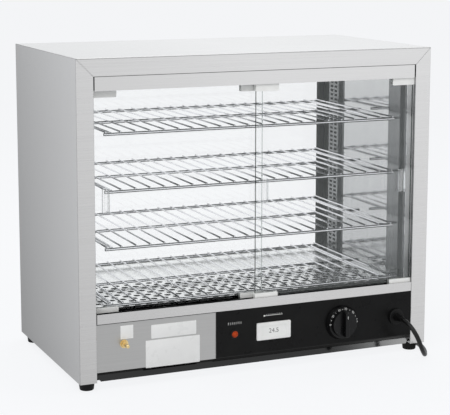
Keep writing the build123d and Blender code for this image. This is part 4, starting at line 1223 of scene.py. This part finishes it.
@dataclass
class Studio:
    """Floor, lamps, world and camera."""

    backdrop: str = "F5F7F9"
    eye: tuple[float, float, float] = (-0.995, -2.303, 0.727)
    yaw: float = -23.43
    pitch: float = 8.99
    roll: float = -0.08
    focal: float = 1441.6
    principal_row: float = 165.0
    width: int = 450
    height: int = 415
    world_strength: float = 0.62
    floor_matt: str = "F4F6F8"
    floor_glow: str = "FBFCFE"
    floor_share: float = 0.88
    target: tuple[float, float, float] = (0.0, 0.0, 0.25)
    lamps: tuple[tuple[str, tuple[float, float, float], float, float], ...] = (
        ("key", (-1.6, -1.8, 2.6), 1.8, 32.0),
        ("fill", (2.2, -1.6, 2.2), 1.6, 12.0),
        ("top", (0.2, 0.9, 2.6), 1.6, 16.0),
    )

    def shown(self, nodes: Nodes) -> bpy.types.Node:
        """One where a camera, glossy or transmitted ray looks, else nought."""
        rays = nodes.add("LightPath").outputs
        either = nodes.add("Math", LARGER, _0=rays["Is Camera Ray"], _1=rays["Is Glossy Ray"])
        return nodes.add("Math", LARGER, _0=either, _1=rays["Is Transmission Ray"])

    def world(self) -> None:
        """Plain white light all round, seen as the pale backdrop."""
        world = bpy.data.worlds.new("studio")
        nodes = Nodes(world)
        light = nodes.add("Background", Strength=self.world_strength)
        seen = nodes.add("Background", Color=linear(self.backdrop))
        mix = nodes.add("MixShader", _0=self.shown(nodes), _1=light, _2=seen)
        nodes.add("OutputWorld", Surface=mix)
        bpy.context.scene.world = world

    def floor(self) -> None:
        """A wide pale floor that keeps a soft shadow."""
        deselect()
        bpy.ops.mesh.primitive_plane_add(size=60, location=(0, 10, 0))
        floor = bpy.context.object
        floor.name = "studio_floor"
        material = bpy.data.materials.new("studio_floor")
        nodes = Nodes(material)
        matt = nodes.add("BsdfDiffuse", Color=linear(self.floor_matt))
        glow = nodes.add("Emission", Color=linear(self.floor_glow))
        share = nodes.add("Math", TIMES, _0=self.shown(nodes), _1=self.floor_share)
        mix = nodes.add("MixShader", _0=share, _1=matt, _2=glow)
        nodes.add("OutputMaterial", Surface=mix)
        floor.data.materials.append(material)

    def lamp(self, name: str, place: Vector, size: float, power: float) -> None:
        """Add a square soft lamp aimed at the case.

        Args:
            name: Its name.
            place: Where it stands.
            size: Its side in metres.
            power: Watts.
        """
        data = bpy.data.lights.new(name, "AREA")
        data.size = size
        data.energy = power
        lamp = bpy.data.objects.new(name, data)
        lamp.location = place
        aim = Vector(self.target) - place
        lamp.rotation_euler = aim.to_track_quat("-Z", "Y").to_euler()
        bpy.context.scene.collection.objects.link(lamp)

    def camera(self) -> None:
        """The photograph's view, solved from the case's corners."""
        data = bpy.data.cameras.new("camera")
        data.sensor_width = 36.0
        data.lens = self.focal * data.sensor_width / self.width
        data.shift_y = (self.principal_row - self.height / 2) / self.width
        data.clip_start = 0.05
        camera = bpy.data.objects.new("camera", data)
        camera.location = self.eye
        camera.rotation_mode = "XYZ"
        camera.rotation_euler = (
            math.radians(90 - self.pitch),
            math.radians(self.roll),
            math.radians(self.yaw),
        )
        bpy.context.scene.collection.objects.link(camera)
        bpy.context.scene.camera = camera

    def build(self) -> None:
        """Set the whole studio up."""
        self.world()
        self.floor()
        for name, place, size, power in self.lamps:
            self.lamp(name, Vector(place), size, power)
        self.camera()
        bpy.context.scene.view_settings.view_transform = "Standard"


def dress_nodes() -> None:
    """Give every CAD node that stays its finish."""
    for finish, names in NODE_FINISHES:
        for name in names.split():
            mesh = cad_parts[name].data
            mesh.materials.clear()
            mesh.materials.append(finish.material())
            LOG.info("%s: %s", name, finish.name)


def main() -> None:
    """Build the whole scene in order."""
    logging.basicConfig(level=logging.INFO, format="%(message)s")
    dress_nodes()
    kinds = (Deck, Racks, PostSlots, GapShades, Dial, Plates, Lead, Studio)
    for assembly in [kind() for kind in kinds]:
        assembly.build()
        LOG.info("%s done", type(assembly).__name__)


if __name__ == "__main__":
    main()
